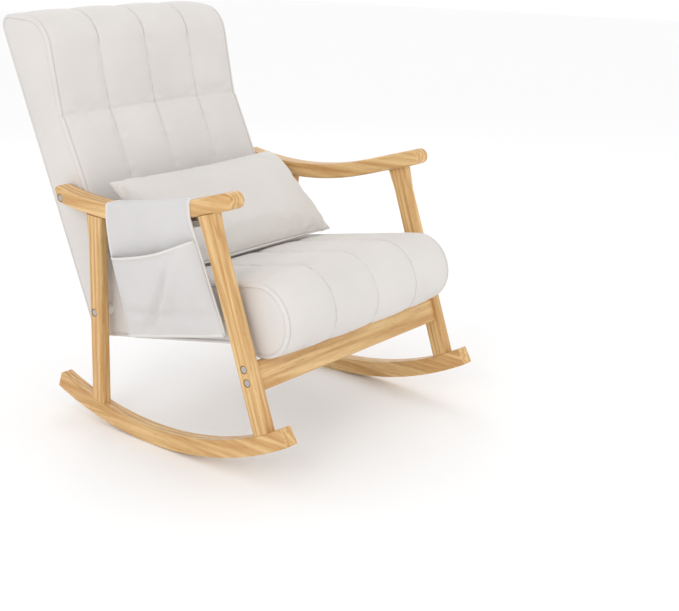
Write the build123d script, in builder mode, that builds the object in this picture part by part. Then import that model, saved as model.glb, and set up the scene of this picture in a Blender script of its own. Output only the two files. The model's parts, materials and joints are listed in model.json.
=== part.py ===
"""Rocking nursery armchair: wooden side frames on runners, an upholstered seat and back, and a pocket.

+Z is up and the chair faces -Y. "right" is the sitter's right, on the -X side. Lengths are in mm.
"""

import os
from math import asin, atan, cos, degrees, radians, sin, sqrt, tan

from build123d import *

os.makedirs("parts", exist_ok=True)

# Wooden side frames
ARM_OUTER_X = 333
ARM_WIDTH = 43
ARM_HEIGHT = 36
ARM_BEND_RADIUS = 853
ARM_LOW_Y = 73
ARM_LOW_Z = 525.5
ARM_STRAIGHT_Y = -159
ARM_TIP_Y = -310
ARM_REAR_Y = 241
ARM_REAR_LEAN = 18
RUNNER_RADIUS = 887
RUNNER_HEIGHT = 40
RUNNER_WIDTH = 32
RUNNER_LOW_Y = -38
RUNNER_FRONT_Y = -471
RUNNER_REAR_Y = 281
FRONT_LEG_WIDTH = 28
FRONT_LEG_LEAN = 17.5
FRONT_LEG_DEPTH_TOP = 42
FRONT_LEG_DEPTH_BOTTOM = 48
REAR_LEG_WIDTH = 26
REAR_LEG_LEAN = -3.3
REAR_LEG_DEPTH = 40
LEG_FLARE = 7
EDGE_ROUND = 6
ARM_EDGE_ROUND = 6
RAIL_EDGE_ROUND = 3
RUNNER_EDGE_ROUND = 2.5
LEG_NECK_ROUND = 60
RAIL_THICKNESS = 25
RAIL_HEIGHT = 62
RAIL_CORNER = (-380, 206)
RAIL_BOLT_HEIGHTS = (25, 54)

# Upholstered body
BODY_HALF_WIDTH = 282
FABRIC = 2.5
NOSE_RADIUS = 78
NOSE_CENTRE = (-352, 345)
SEAT_BOTTOM_FRONT = (-262, 279)
SEAT_BOTTOM_REAR = (57, 221)
SEAT_TOP_REAR = (104, 345)
SEAT_TOP_SLOPE = 9.4
SEAT_FRAME_HEIGHT = 55
FRAME_BOARD = 20
BACK_KINK = (272, 718)
BACK_TOP_FRONT = (307, 922)
BACK_TOP_REAR = (476, 930)
BACK_BOTTOM_REAR = (191, 197)
BACK_PAD = 36
TOP_PAD = 26
CHEEK_PAD = 18
CHEEK_WINDOWS = [
    [(170, 335), (211, 465), (268, 465), (217, 335)],
    [(263, 580), (312, 690), (348, 690), (305, 580)],
    [(329, 740), (349, 860), (414, 860), (367, 740)],
]
NOSE_BLOCK_LENGTH = 122
NOSE_BLOCK_HEIGHT = 72
WEBBING = 2

# Loose pillow
PILLOW_SIZE = (520, 262, 100)
PILLOW_CENTRE = (26, 483)
PILLOW_ROUND = 46
PILLOW_LEAN = (0.766, 0.643)

# Side pocket
CLOTH = 2
POCKET_GAP = 0.5
POCKET_TOP_FRONT_Y = -206
POCKET_TOP_REAR_Y = 56
POCKET_BOTTOM_FRONT = (-284, 308)
POCKET_BOTTOM_REAR = (24, 240)
MOUTH_FRONT_Z = 506
MOUTH_REAR_Z = 425

# Hardware
BOLT_RADIUS = 4
BOLT_LENGTH = 75
HOLE_CLEARANCE = 0.3
BOLT_HEAD_RADIUS = 7.4
BOLT_HEAD_HEIGHT = 4
COUNTERBORE_RADIUS = 9.2
SOCKET_RADIUS = 3
SCREW_RADIUS = 2
SCREW_HEAD_RADIUS = 4
SCREW_HEAD_HEIGHT = 2
SCREW_LENGTH = 18
DOWEL_RADIUS = 5
DOWEL_LENGTH = 40
DOWEL_HALF_SPACING = 11
REAR_LEG_BOLT = (126, 278)
ARM_BOLT = (224, 533)

SIDES = {"right": -1, "left": 1}
LEG_UP = (0, sin(radians(FRONT_LEG_LEAN)), cos(radians(FRONT_LEG_LEAN)))
REAR_LEG_UP = (0, sin(radians(REAR_LEG_LEAN)), cos(radians(REAR_LEG_LEAN)))
RAIL_PLANE = Plane(origin=(0, *RAIL_CORNER), x_dir=(0, LEG_UP[2], -LEG_UP[1]), z_dir=(1, 0, 0))
RAIL_BOLT_POINTS = [
    RAIL_PLANE.from_local_coords(Vector(RAIL_THICKNESS / 2, height)) for height in RAIL_BOLT_HEIGHTS
]
RAIL_BOLTS = [(point.Y, point.Z) for point in RAIL_BOLT_POINTS]


def side_plane(side, outer_x, width):
    """The YZ plane on the lower-X face of a board whose outer face is at outer_x."""
    return Plane.YZ.offset(min(side * outer_x, side * (outer_x - width)))


def finish(piece, name):
    piece.part.label = name
    export_step(piece.part, f"parts/{name}.step")


def runner_z(y, radius):
    return RUNNER_RADIUS - sqrt(radius**2 - (y - RUNNER_LOW_Y) ** 2)


def arm_centre_z(y):
    """Height of the armrest's centre line: an arc, then straight up to the front tip."""
    arc_y = max(y, ARM_STRAIGHT_Y) - ARM_LOW_Y
    arc_z = ARM_LOW_Z + ARM_BEND_RADIUS - sqrt(ARM_BEND_RADIUS**2 - arc_y**2)
    return arc_z + max(ARM_STRAIGHT_Y - y, 0) * arm_slope()


def arm_slope():
    return tan(asin((ARM_LOW_Y - ARM_STRAIGHT_Y) / ARM_BEND_RADIUS))


def arm_outline(height, mode=Mode.ADD):
    """Side view of the armrest: a bent bar with a round front end."""
    start = -90 + degrees(asin((ARM_REAR_Y + 34 - ARM_LOW_Y) / ARM_BEND_RADIUS))
    sweep = -90 - degrees(asin((ARM_LOW_Y - ARM_STRAIGHT_Y) / ARM_BEND_RADIUS)) - start
    slope = atan(arm_slope())
    straight = (ARM_STRAIGHT_Y - ARM_TIP_Y) / cos(slope)
    tip = (ARM_TIP_Y - height / 2 * cos(slope), arm_centre_z(ARM_TIP_Y) + height / 2 * sin(slope))
    with BuildLine() as outline:
        centre = (ARM_LOW_Y, ARM_LOW_Z + ARM_BEND_RADIUS)
        upper_bend = CenterArc(centre, ARM_BEND_RADIUS - height / 2, start, sweep)
        lower_bend = CenterArc(centre, ARM_BEND_RADIUS + height / 2, start, sweep)
        upper = PolarLine(upper_bend @ 1, straight, 180 - degrees(slope))
        lower = PolarLine(lower_bend @ 1, straight, 180 - degrees(slope))
        ThreePointArc(upper @ 1, tip, lower @ 1)
        Line(upper_bend @ 0, lower_bend @ 0)
    make_face(outline.edges(), mode=mode)


def front_leg_rear_y(z):
    return -233 + (z - 556) * tan(radians(FRONT_LEG_LEAN))


def rear_leg_rear_y(z):
    return 143 + (z - 260) * tan(radians(REAR_LEG_LEAN))


def leg_outline(rear_y, depth_bottom, depth_top, bottom, top):
    """Side view of a leg that widens where it meets the armrest."""
    neck = top - 62
    with BuildLine() as outline:
        Polyline(
            (rear_y(bottom), bottom),
            (rear_y(neck), neck),
            (rear_y(top) + LEG_FLARE, top),
            (rear_y(top) - depth_top - LEG_FLARE, top),
            (rear_y(neck) - depth_top, neck),
            (rear_y(bottom) - depth_bottom, bottom),
            close=True,
        )
    make_face(outline.edges())


def runner_disc(mode):
    """Everything above a runner's hollow top edge."""
    with Locations((RUNNER_LOW_Y, RUNNER_RADIUS)):
        Circle(RUNNER_RADIUS - RUNNER_HEIGHT, mode=mode)


def dowel_planes(x, y, z, up):
    """Two dowels side by side across a leg, along its length."""
    steps = (-DOWEL_HALF_SPACING, DOWEL_HALF_SPACING)
    return [Plane(origin=(x, y + step * up[2], z - step * up[1]), z_dir=up) for step in steps]


def front_leg_dowels(side):
    x = side * (ARM_OUTER_X - FRONT_LEG_WIDTH / 2)
    low_y = front_leg_rear_y(115) - FRONT_LEG_DEPTH_BOTTOM / 2
    high_y = front_leg_rear_y(562) - FRONT_LEG_DEPTH_TOP / 2
    low = dowel_planes(x, low_y, runner_z(low_y, RUNNER_RADIUS - RUNNER_HEIGHT) + 5, LEG_UP)
    high = dowel_planes(x, high_y, arm_centre_z(high_y) - ARM_HEIGHT / 2 - 5, LEG_UP)
    return low + high


def rear_leg_dowels(side):
    x = side * (ARM_OUTER_X - REAR_LEG_WIDTH / 2)
    low_y = rear_leg_rear_y(70) - REAR_LEG_DEPTH / 2
    high_y = rear_leg_rear_y(508) - REAR_LEG_DEPTH / 2
    low = dowel_planes(x, low_y, runner_z(low_y, RUNNER_RADIUS - RUNNER_HEIGHT) + 5, REAR_LEG_UP)
    high = dowel_planes(x, high_y, arm_centre_z(high_y) - ARM_HEIGHT / 2 - 5, REAR_LEG_UP)
    return low + high


def bolt_planes(side, outer_x, spots):
    """Bolt axes that start on a face at outer_x and run in towards the middle of the chair."""
    return [Plane(origin=(side * outer_x, y, z), z_dir=(-side, 0, 0)) for y, z in spots]


def drill(planes, radius, depth, both_ways=False):
    """Round holes a little wider than what goes in them, from each plane along its normal."""
    align = (Align.CENTER, Align.CENTER, Align.CENTER if both_ways else Align.MIN)
    with Locations(*planes):
        Cylinder(radius + HOLE_CLEARANCE, depth, align=align, mode=Mode.SUBTRACT)


def drill_bolt(side, outer_x, spots, depth):
    """Bolt holes with a counterbore for the head."""
    planes = bolt_planes(side, outer_x, spots)
    drill(planes, BOLT_RADIUS, depth)
    drill(planes, COUNTERBORE_RADIUS, BOLT_HEAD_HEIGHT + 1)


def rods(planes, radius, length, align=Align.MIN):
    with Locations(*planes):
        Cylinder(radius, length, align=(Align.CENTER, Align.CENTER, align))


def bolts(planes, length):
    """Cap bolts with a hex socket; the planes lie on the outer faces of the heads."""
    rods(planes, BOLT_HEAD_RADIUS, BOLT_HEAD_HEIGHT)
    rods(planes, BOLT_RADIUS, length)
    with Locations(*planes):
        with BuildSketch(mode=Mode.PRIVATE) as socket:
            RegularPolygon(SOCKET_RADIUS, 6)
        extrude(socket.sketch, amount=BOLT_HEAD_HEIGHT / 2, mode=Mode.SUBTRACT)


# Runners: concentric arcs with their ends cut square to the curve.
for name, side in SIDES.items():
    with BuildPart() as runner:
        with BuildSketch(side_plane(side, ARM_OUTER_X, RUNNER_WIDTH)):
            front = degrees(asin((RUNNER_FRONT_Y - RUNNER_LOW_Y) / RUNNER_RADIUS))
            rear = degrees(asin((RUNNER_REAR_Y - RUNNER_LOW_Y) / RUNNER_RADIUS))
            with BuildLine():
                centre = (RUNNER_LOW_Y, RUNNER_RADIUS)
                low = CenterArc(centre, RUNNER_RADIUS, -90 + front, rear - front)
                high = CenterArc(centre, RUNNER_RADIUS - RUNNER_HEIGHT, -90 + front, rear - front)
                Line(low @ 0, high @ 0)
                Line(low @ 1, high @ 1)
            make_face()
        extrude(amount=RUNNER_WIDTH)
        fillet(runner.edges().filter_by(lambda e: e.length > 200), RUNNER_EDGE_ROUND)
        drill(front_leg_dowels(side)[:2] + rear_leg_dowels(side)[:2], DOWEL_RADIUS, DOWEL_LENGTH, True)
    finish(runner, f"runner_{name}")

# Armrests, drilled from outside for the bolt into the back, and from below for the leg dowels.
for name, side in SIDES.items():
    with BuildPart() as armrest:
        with BuildSketch(side_plane(side, ARM_OUTER_X, ARM_WIDTH)) as arm_side:
            arm_outline(ARM_HEIGHT)
            rear_cut = Plane(
                origin=(ARM_REAR_Y, arm_centre_z(ARM_REAR_Y), 0),
                z_dir=(cos(radians(ARM_REAR_LEAN)), -sin(radians(ARM_REAR_LEAN)), 0),
            )
            split(bisect_by=rear_cut, keep=Keep.BOTTOM)
            fillet(arm_side.vertices().sort_by(Axis.X)[-2:], 8)
        extrude(amount=ARM_WIDTH)
        fillet(armrest.edges().filter_by(lambda e: e.length > 100), ARM_EDGE_ROUND)
        drill(front_leg_dowels(side)[2:] + rear_leg_dowels(side)[2:], DOWEL_RADIUS, DOWEL_LENGTH, True)
        drill_bolt(side, ARM_OUTER_X, [ARM_BOLT], ARM_WIDTH)
    finish(armrest, f"armrest_{name}")

# Front legs, bolted to the ends of the front rail, and the plain rear legs.
for name, side in SIDES.items():
    with BuildPart() as front_leg:
        with BuildSketch(side_plane(side, ARM_OUTER_X, FRONT_LEG_WIDTH)) as leg_side:
            leg_outline(front_leg_rear_y, FRONT_LEG_DEPTH_BOTTOM, FRONT_LEG_DEPTH_TOP, 80, 578)
            arm_outline(ARM_HEIGHT, mode=Mode.SUBTRACT)
            runner_disc(Mode.INTERSECT)
            fillet(leg_side.vertices().filter_by_position(Axis.Y, 514, 518), LEG_NECK_ROUND)
        extrude(amount=FRONT_LEG_WIDTH)
        fillet(front_leg.edges().filter_by(lambda e: e.length > 300), EDGE_ROUND)
        drill(front_leg_dowels(side), DOWEL_RADIUS, DOWEL_LENGTH, True)
        drill_bolt(side, ARM_OUTER_X, RAIL_BOLTS, FRONT_LEG_WIDTH)
    finish(front_leg, f"front_leg_{name}")

    with BuildPart() as rear_leg:
        with BuildSketch(side_plane(side, ARM_OUTER_X, REAR_LEG_WIDTH)) as leg_side:
            leg_outline(rear_leg_rear_y, REAR_LEG_DEPTH, REAR_LEG_DEPTH, 40, 516)
            arm_outline(ARM_HEIGHT, mode=Mode.SUBTRACT)
            runner_disc(Mode.INTERSECT)
            fillet(leg_side.vertices().filter_by_position(Axis.Y, 452, 456), LEG_NECK_ROUND)
        extrude(amount=REAR_LEG_WIDTH)
        fillet(rear_leg.edges().filter_by(lambda e: e.length > 300), EDGE_ROUND)
        drill(rear_leg_dowels(side), DOWEL_RADIUS, DOWEL_LENGTH, True)
        drill_bolt(side, ARM_OUTER_X, [REAR_LEG_BOLT], REAR_LEG_WIDTH)
    finish(rear_leg, f"rear_leg_{name}")

# Front rail between the front legs, leaning with them, with blind holes from behind for its barrel nuts.
RAIL_HALF_LENGTH = ARM_OUTER_X - FRONT_LEG_WIDTH
NUT_X = RAIL_HALF_LENGTH - 32
RAIL_BOLT_DEPTH = 44
NUT_RADIUS = 5
NUT_LENGTH = 16
NUT_AXIS = (0, LEG_UP[2], -LEG_UP[1])
NUT_PLANES = [
    Plane(origin=(side * NUT_X, y, z), z_dir=NUT_AXIS) for side in (-1, 1) for y, z in RAIL_BOLTS
]
BRACKET_X = 150
BRACKET_WIDTH = 40
RAIL_BACK = RAIL_PLANE.from_local_coords(Vector(RAIL_THICKNESS, 26))
RAIL_SCREWS = [
    Plane(origin=(side * BRACKET_X, RAIL_BACK.Y, RAIL_BACK.Z), z_dir=(0, -LEG_UP[2], LEG_UP[1]))
    for side in (-1, 1)
]
with BuildPart() as front_rail:
    with BuildSketch(RAIL_PLANE.offset(-RAIL_HALF_LENGTH)):
        Rectangle(RAIL_THICKNESS, RAIL_HEIGHT, align=Align.MIN)
    extrude(amount=2 * RAIL_HALF_LENGTH)
    fillet(front_rail.edges().filter_by(lambda e: e.length > 500), RAIL_EDGE_ROUND)
    for side in SIDES.values():
        drill(bolt_planes(side, RAIL_HALF_LENGTH, RAIL_BOLTS), BOLT_RADIUS, RAIL_BOLT_DEPTH)
    nut_seats = [plane.offset(-NUT_LENGTH / 2 - HOLE_CLEARANCE) for plane in NUT_PLANES]
    drill(nut_seats, NUT_RADIUS, RAIL_THICKNESS)
    drill(RAIL_SCREWS, SCREW_RADIUS, 14)
finish(front_rail, "front_rail")

# Bolts through the legs into barrel nuts in the rail.
with BuildPart() as rail_bolts:
    for side in SIDES.values():
        bolts(bolt_planes(side, ARM_OUTER_X - 1, RAIL_BOLTS), 68)
finish(rail_bolts, "front_rail_bolts")

with BuildPart() as barrel_nuts:
    rods(NUT_PLANES, NUT_RADIUS, NUT_LENGTH, Align.CENTER)
    for side in SIDES.values():
        drill(bolt_planes(side, RAIL_HALF_LENGTH, RAIL_BOLTS), BOLT_RADIUS, RAIL_BOLT_DEPTH)
finish(barrel_nuts, "barrel_nuts")

# Dowels that join the legs to the runners and the armrests.
with BuildPart() as dowels:
    for side in SIDES.values():
        rods(front_leg_dowels(side) + rear_leg_dowels(side), DOWEL_RADIUS, DOWEL_LENGTH - 1, Align.CENTER)
finish(dowels, "frame_dowels")


def seat_outline(inset=0, mode=Mode.ADD):
    """Side view of the seat: a round nose, a top that falls to the back, and a sloping underside."""
    top_angle = radians(SEAT_TOP_SLOPE)
    radius = NOSE_RADIUS - inset
    top_front = (NOSE_CENTRE[0] + radius * sin(top_angle), NOSE_CENTRE[1] + radius * cos(top_angle))
    nose_low = (NOSE_CENTRE[0], NOSE_CENTRE[1] - radius)
    with BuildLine() as outline:
        ThreePointArc(top_front, (NOSE_CENTRE[0] - radius, NOSE_CENTRE[1]), nose_low)
        Polyline(
            nose_low,
            (SEAT_BOTTOM_FRONT[0], SEAT_BOTTOM_FRONT[1] + inset),
            (SEAT_BOTTOM_REAR[0] - inset, SEAT_BOTTOM_REAR[1] + inset),
            (SEAT_TOP_REAR[0] - inset, SEAT_TOP_REAR[1] - inset),
            top_front,
        )
    make_face(outline.edges(), mode=mode)


def polygon(*points, mode=Mode.ADD):
    with BuildLine() as outline:
        Polyline(*points, close=True)
    make_face(outline.edges(), mode=mode)


def back_outline(inset=0, mode=Mode.ADD):
    """Side view of the back: leaning, with a fuller upper part and a rounded top."""
    with BuildSketch(mode=Mode.PRIVATE) as shape:
        polygon(SEAT_BOTTOM_REAR, SEAT_TOP_REAR, BACK_KINK, BACK_TOP_FRONT, BACK_TOP_REAR, BACK_BOTTOM_REAR)
        fillet(shape.vertices().filter_by_position(Axis.Y, 900, 950).sort_by(Axis.X)[0], 70)
        fillet(shape.vertices().filter_by_position(Axis.Y, 900, 950).sort_by(Axis.X)[-1], 26)
        fillet(shape.vertices().filter_by_position(Axis.Y, BACK_KINK[1] - 1, BACK_KINK[1] + 1), 120)
        if inset:
            offset(amount=-inset, mode=Mode.REPLACE)
    add(shape.sketch, mode=mode)


def behind_pad(pad, top_pad, mode):
    """Side view of everything further than pad behind the back's front line and top_pad below its top."""
    top = BACK_TOP_FRONT[1] - top_pad
    upper_slope = (BACK_TOP_FRONT[0] - BACK_KINK[0]) / (BACK_TOP_FRONT[1] - BACK_KINK[1])
    polygon(
        (SEAT_BOTTOM_REAR[0] + pad - 40, SEAT_BOTTOM_REAR[1] - 106),
        (SEAT_TOP_REAR[0] + pad, SEAT_TOP_REAR[1]),
        (BACK_KINK[0] + pad, BACK_KINK[1]),
        (BACK_KINK[0] + pad + (top - BACK_KINK[1]) * upper_slope, top),
        (BACK_TOP_REAR[0] + 50, top),
        (BACK_TOP_REAR[0] + 50, SEAT_BOTTOM_REAR[1] - 106),
        mode=mode,
    )


SEAT_ALONG = (Vector(*SEAT_BOTTOM_REAR) - Vector(*SEAT_BOTTOM_FRONT)).normalized()
SEAT_UP = Vector(-SEAT_ALONG.Y, SEAT_ALONG.X)
JOINT_UP = (Vector(*SEAT_TOP_REAR) - Vector(*SEAT_BOTTOM_REAR)).normalized()


def seat_layer(low, high, front=0, rear=0, mode=Mode.ADD):
    """Side view of a layer of the seat, by height over the underside, cut in by front and rear."""
    front_foot = Vector(*SEAT_BOTTOM_FRONT) + SEAT_ALONG * front
    rear_foot = Vector(*SEAT_BOTTOM_REAR) - SEAT_ALONG * rear
    rise = JOINT_UP * (1 / JOINT_UP.dot(SEAT_UP))
    polygon(
        front_foot + SEAT_UP * low,
        rear_foot + rise * low,
        rear_foot + rise * high,
        front_foot + SEAT_UP * high,
        mode=mode,
    )


PANEL_X = BODY_HALF_WIDTH - FABRIC
BOARD_X = PANEL_X - FRAME_BOARD
FRAME_TOP = FABRIC + SEAT_FRAME_HEIGHT

# Seat side rails, with pilot holes for the corner plates.
PLATE_SPOTS = [(24, 246), (44, 242), (84, 244), (102, 240)]
PLATE_THICKNESS = 3
for name, side in SIDES.items():
    with BuildPart() as seat_rail:
        with BuildSketch(side_plane(side, PANEL_X, FRAME_BOARD)):
            seat_layer(FABRIC, FRAME_TOP)
        extrude(amount=FRAME_BOARD)
        drill(bolt_planes(-side, -BOARD_X, PLATE_SPOTS), SCREW_RADIUS, 16)
    finish(seat_rail, f"seat_rail_{name}")

# Seat cross rails. The front one takes the bracket screws from below.
BRACKET_FOOT = Vector(*SEAT_BOTTOM_FRONT) + SEAT_ALONG * 14
SEAT_SCREWS = [
    Plane(origin=(side * BRACKET_X, BRACKET_FOOT.X, BRACKET_FOOT.Y), z_dir=(0, SEAT_UP.X, SEAT_UP.Y))
    for side in (-1, 1)
]
SEAT_LENGTH = (Vector(*SEAT_BOTTOM_REAR) - Vector(*SEAT_BOTTOM_FRONT)).length
CROSS_RAILS = {"front": 1, "rear": SEAT_LENGTH - 90}
for name, front in CROSS_RAILS.items():
    with BuildPart() as cross_rail:
        with BuildSketch(Plane.YZ.offset(-BOARD_X)):
            seat_layer(FABRIC, FRAME_TOP)
            foot = Vector(*SEAT_BOTTOM_FRONT) + SEAT_ALONG * front
            far_foot = foot + SEAT_ALONG * 26
            polygon(foot, far_foot, far_foot + SEAT_UP * 80, foot + SEAT_UP * 80, mode=Mode.INTERSECT)
        extrude(amount=2 * BOARD_X)
        if name == "front":
            drill(SEAT_SCREWS, SCREW_RADIUS, SCREW_LENGTH)
    finish(cross_rail, f"seat_cross_rail_{name}")


# Wooden block in front of the cross rails that carries the padding of the nose.
def nose_block_outline(mode=Mode.ADD):
    """Side view of the nose block, square to the seat's underside."""
    rear = Vector(*SEAT_BOTTOM_FRONT) + SEAT_UP * FABRIC
    front = rear - SEAT_ALONG * NOSE_BLOCK_LENGTH
    rise = SEAT_UP * NOSE_BLOCK_HEIGHT
    polygon(front, rear, rear + rise, front + rise, mode=mode)


with BuildPart() as nose_block:
    with BuildSketch(Plane.YZ.offset(-BOARD_X)):
        nose_block_outline()
    extrude(amount=2 * BOARD_X)
finish(nose_block, "seat_nose_block")

# Elastic straps from the front to the rear cross rail.
SEAT_STRAP_WIDTH = 50
with BuildPart() as seat_webbing:
    for x in range(-200, 201, 80):
        with BuildSketch(Plane.YZ.offset(x - SEAT_STRAP_WIDTH / 2)):
            seat_layer(FRAME_TOP, FRAME_TOP + WEBBING, front=1, rear=64)
        extrude(amount=SEAT_STRAP_WIDTH)
finish(seat_webbing, "seat_webbing")

with BuildPart() as seat_foam:
    with BuildSketch(Plane.YZ.offset(-PANEL_X)):
        seat_outline(FABRIC)
        seat_layer(-20, FRAME_TOP + WEBBING, rear=-20, mode=Mode.SUBTRACT)
    extrude(amount=2 * PANEL_X)
    with BuildSketch(Plane.YZ.offset(-BOARD_X)):
        nose_block_outline()
    extrude(amount=2 * BOARD_X, mode=Mode.SUBTRACT)
finish(seat_foam, "seat_foam")

# Seat covers: one long panel over the top and nose, and a panel on each side.
with BuildPart() as seat_cover:
    with BuildSketch(Plane.YZ.offset(-PANEL_X)):
        seat_outline()
        seat_outline(FABRIC, mode=Mode.SUBTRACT)
        seat_layer(-10, FABRIC + 1, rear=-20, mode=Mode.SUBTRACT)
        rear_low = Vector(*SEAT_BOTTOM_REAR)
        rear_high = Vector(*SEAT_TOP_REAR) + JOINT_UP * 5
        rear_in = Vector(-FABRIC - 1, 0)
        polygon(rear_low, rear_high, rear_high + rear_in, rear_low + rear_in, mode=Mode.SUBTRACT)
    extrude(amount=2 * PANEL_X)
finish(seat_cover, "seat_cover")

for name, side in SIDES.items():
    with BuildPart() as seat_side_cover:
        with BuildSketch(side_plane(side, BODY_HALF_WIDTH, FABRIC)):
            seat_outline()
        extrude(amount=FABRIC)
    finish(seat_side_cover, f"seat_side_cover_{name}")

# Back frame: a plywood cheek each side, drilled for the side-frame bolts, and three cross rails.
BODY_BOLTS = [REAR_LEG_BOLT, ARM_BOLT]
CHEEK_FOOT = [
    SEAT_BOTTOM_REAR,
    SEAT_TOP_REAR,
    (SEAT_TOP_REAR[0] + 60, SEAT_TOP_REAR[1] + 60),
    BACK_BOTTOM_REAR,
]
for name, side in SIDES.items():
    with BuildPart() as back_cheek:
        with BuildSketch(side_plane(side, PANEL_X, FRAME_BOARD)):
            back_outline(FABRIC)
            behind_pad(CHEEK_PAD, CHEEK_PAD, Mode.INTERSECT)
            polygon(*CHEEK_FOOT)
            seat_outline(mode=Mode.SUBTRACT)
            back_outline(FABRIC, mode=Mode.INTERSECT)
            for window in CHEEK_WINDOWS:
                polygon(*window, mode=Mode.SUBTRACT)
        extrude(amount=FRAME_BOARD)
        drill(bolt_planes(side, PANEL_X, BODY_BOLTS), BOLT_RADIUS, FRAME_BOARD)
        drill(bolt_planes(-side, -BOARD_X, PLATE_SPOTS), SCREW_RADIUS, 16)
    finish(back_cheek, f"back_cheek_{name}")

BACK_ALONG = (Vector(*BACK_TOP_REAR) - Vector(*BACK_BOTTOM_REAR)).normalized()
BACK_IN = Vector(-BACK_ALONG.Y, BACK_ALONG.X)
BACK_RAIL_HEIGHTS = {"lower": 30, "middle": 370, "upper": 690}
BACK_RAIL_WIDTH = 45
BACK_RAIL_THICKNESS = 20
for name, height in BACK_RAIL_HEIGHTS.items():
    with BuildPart() as back_rail:
        with BuildSketch(Plane.YZ.offset(-BOARD_X)):
            foot = Vector(*BACK_BOTTOM_REAR) + BACK_ALONG * height + BACK_IN * (FABRIC + 0.2)
            head = foot + BACK_ALONG * BACK_RAIL_WIDTH
            polygon(foot, head, head + BACK_IN * BACK_RAIL_THICKNESS, foot + BACK_IN * BACK_RAIL_THICKNESS)
        extrude(amount=2 * BOARD_X)
    finish(back_rail, f"back_rail_{name}")

# Elastic straps between the cheeks, behind the back's padding.
PAD_ALONG = (Vector(*BACK_KINK) - Vector(*SEAT_TOP_REAR)).normalized()
PAD_BACK = Vector(PAD_ALONG.Y, -PAD_ALONG.X)
BACK_STRAP_FIRST = 16
BACK_STRAP_LAST = 330
BACK_STRAP_STEP = 67
BACK_STRAP_WIDTH = 45
with BuildPart() as back_webbing:
    for step in range(BACK_STRAP_FIRST, BACK_STRAP_LAST, BACK_STRAP_STEP):
        with BuildSketch(Plane.YZ.offset(-BOARD_X)):
            foot = Vector(*SEAT_TOP_REAR) + Vector(BACK_PAD + 0.2, 0) + PAD_ALONG * step
            head = foot + PAD_ALONG * BACK_STRAP_WIDTH
            polygon(foot, head, head + PAD_BACK * WEBBING, foot + PAD_BACK * WEBBING)
        extrude(amount=2 * BOARD_X)
finish(back_webbing, "back_webbing")

# Back padding: full width in front of the cheeks and over the top, thicker between them.
INNER_PAD_X = BOARD_X - 7
with BuildPart() as back_foam:
    with BuildSketch(Plane.YZ.offset(-PANEL_X)):
        back_outline(FABRIC)
        behind_pad(CHEEK_PAD, CHEEK_PAD, Mode.SUBTRACT)
        polygon(*CHEEK_FOOT, mode=Mode.SUBTRACT)
    extrude(amount=2 * PANEL_X)
    with BuildSketch(Plane.YZ.offset(-INNER_PAD_X)):
        back_outline(FABRIC)
        behind_pad(BACK_PAD, TOP_PAD, Mode.SUBTRACT)
        polygon((0, 0), SEAT_BOTTOM_REAR, (600, SEAT_BOTTOM_REAR[1] + 40), (600, 0), mode=Mode.SUBTRACT)
    extrude(amount=2 * INNER_PAD_X)
finish(back_foam, "back_foam")

# Back covers: a panel over the front and top, a rear panel and a panel on each side.
REAR_TOP = Vector(*BACK_BOTTOM_REAR) + BACK_ALONG * 740
with BuildPart() as back_cover:
    with BuildSketch(Plane.YZ.offset(-PANEL_X)):
        back_outline()
        back_outline(FABRIC, mode=Mode.SUBTRACT)
        polygon(
            (-100, 100),
            (-100, 300),
            SEAT_TOP_REAR,
            (SEAT_TOP_REAR[0] + 40, SEAT_TOP_REAR[1] - 40),
            REAR_TOP + BACK_IN * 10,
            REAR_TOP - BACK_IN * 30,
            (BACK_BOTTOM_REAR[0] + 40, 100),
            mode=Mode.SUBTRACT,
        )
    extrude(amount=2 * PANEL_X)
finish(back_cover, "back_cover")

with BuildPart() as back_rear_cover:
    with BuildSketch(Plane.YZ.offset(-PANEL_X)):
        foot = Vector(*BACK_BOTTOM_REAR) + BACK_ALONG * 5
        polygon(foot, REAR_TOP, REAR_TOP + BACK_IN * FABRIC, foot + BACK_IN * FABRIC)
    extrude(amount=2 * PANEL_X)
finish(back_rear_cover, "back_rear_cover")

for name, side in SIDES.items():
    with BuildPart() as back_side_cover:
        with BuildSketch(side_plane(side, BODY_HALF_WIDTH, FABRIC)):
            back_outline()
        extrude(amount=FABRIC)
        drill(bolt_planes(side, BODY_HALF_WIDTH, BODY_BOLTS), BOLT_RADIUS, FABRIC)
    finish(back_side_cover, f"back_side_cover_{name}")

# Thin cloth under the seat and the foot of the back.
with BuildPart() as dust_cover:
    with BuildSketch(Plane.YZ.offset(-PANEL_X)):
        seat_layer(0, FABRIC - 0.5)
        foot = Vector(*BACK_BOTTOM_REAR)
        polygon(SEAT_BOTTOM_REAR, foot, foot + BACK_ALONG * 2, Vector(*SEAT_BOTTOM_REAR) + JOINT_UP * 2)
    extrude(amount=2 * PANEL_X)
    drill(SEAT_SCREWS, SCREW_RADIUS, SCREW_LENGTH)
finish(dust_cover, "dust_cover")

# Bolts through the armrests and rear legs, with spacers, into tee nuts inside the cheeks.
ARM_INNER_X = ARM_OUTER_X - ARM_WIDTH
REAR_LEG_INNER_X = ARM_OUTER_X - REAR_LEG_WIDTH
for name, spot in {"arm_bolts": ARM_BOLT, "rear_leg_bolts": REAR_LEG_BOLT}.items():
    with BuildPart() as body_bolts:
        for side in SIDES.values():
            bolts(bolt_planes(side, ARM_OUTER_X - 1, [spot]), BOLT_LENGTH)
    finish(body_bolts, name)

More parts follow.
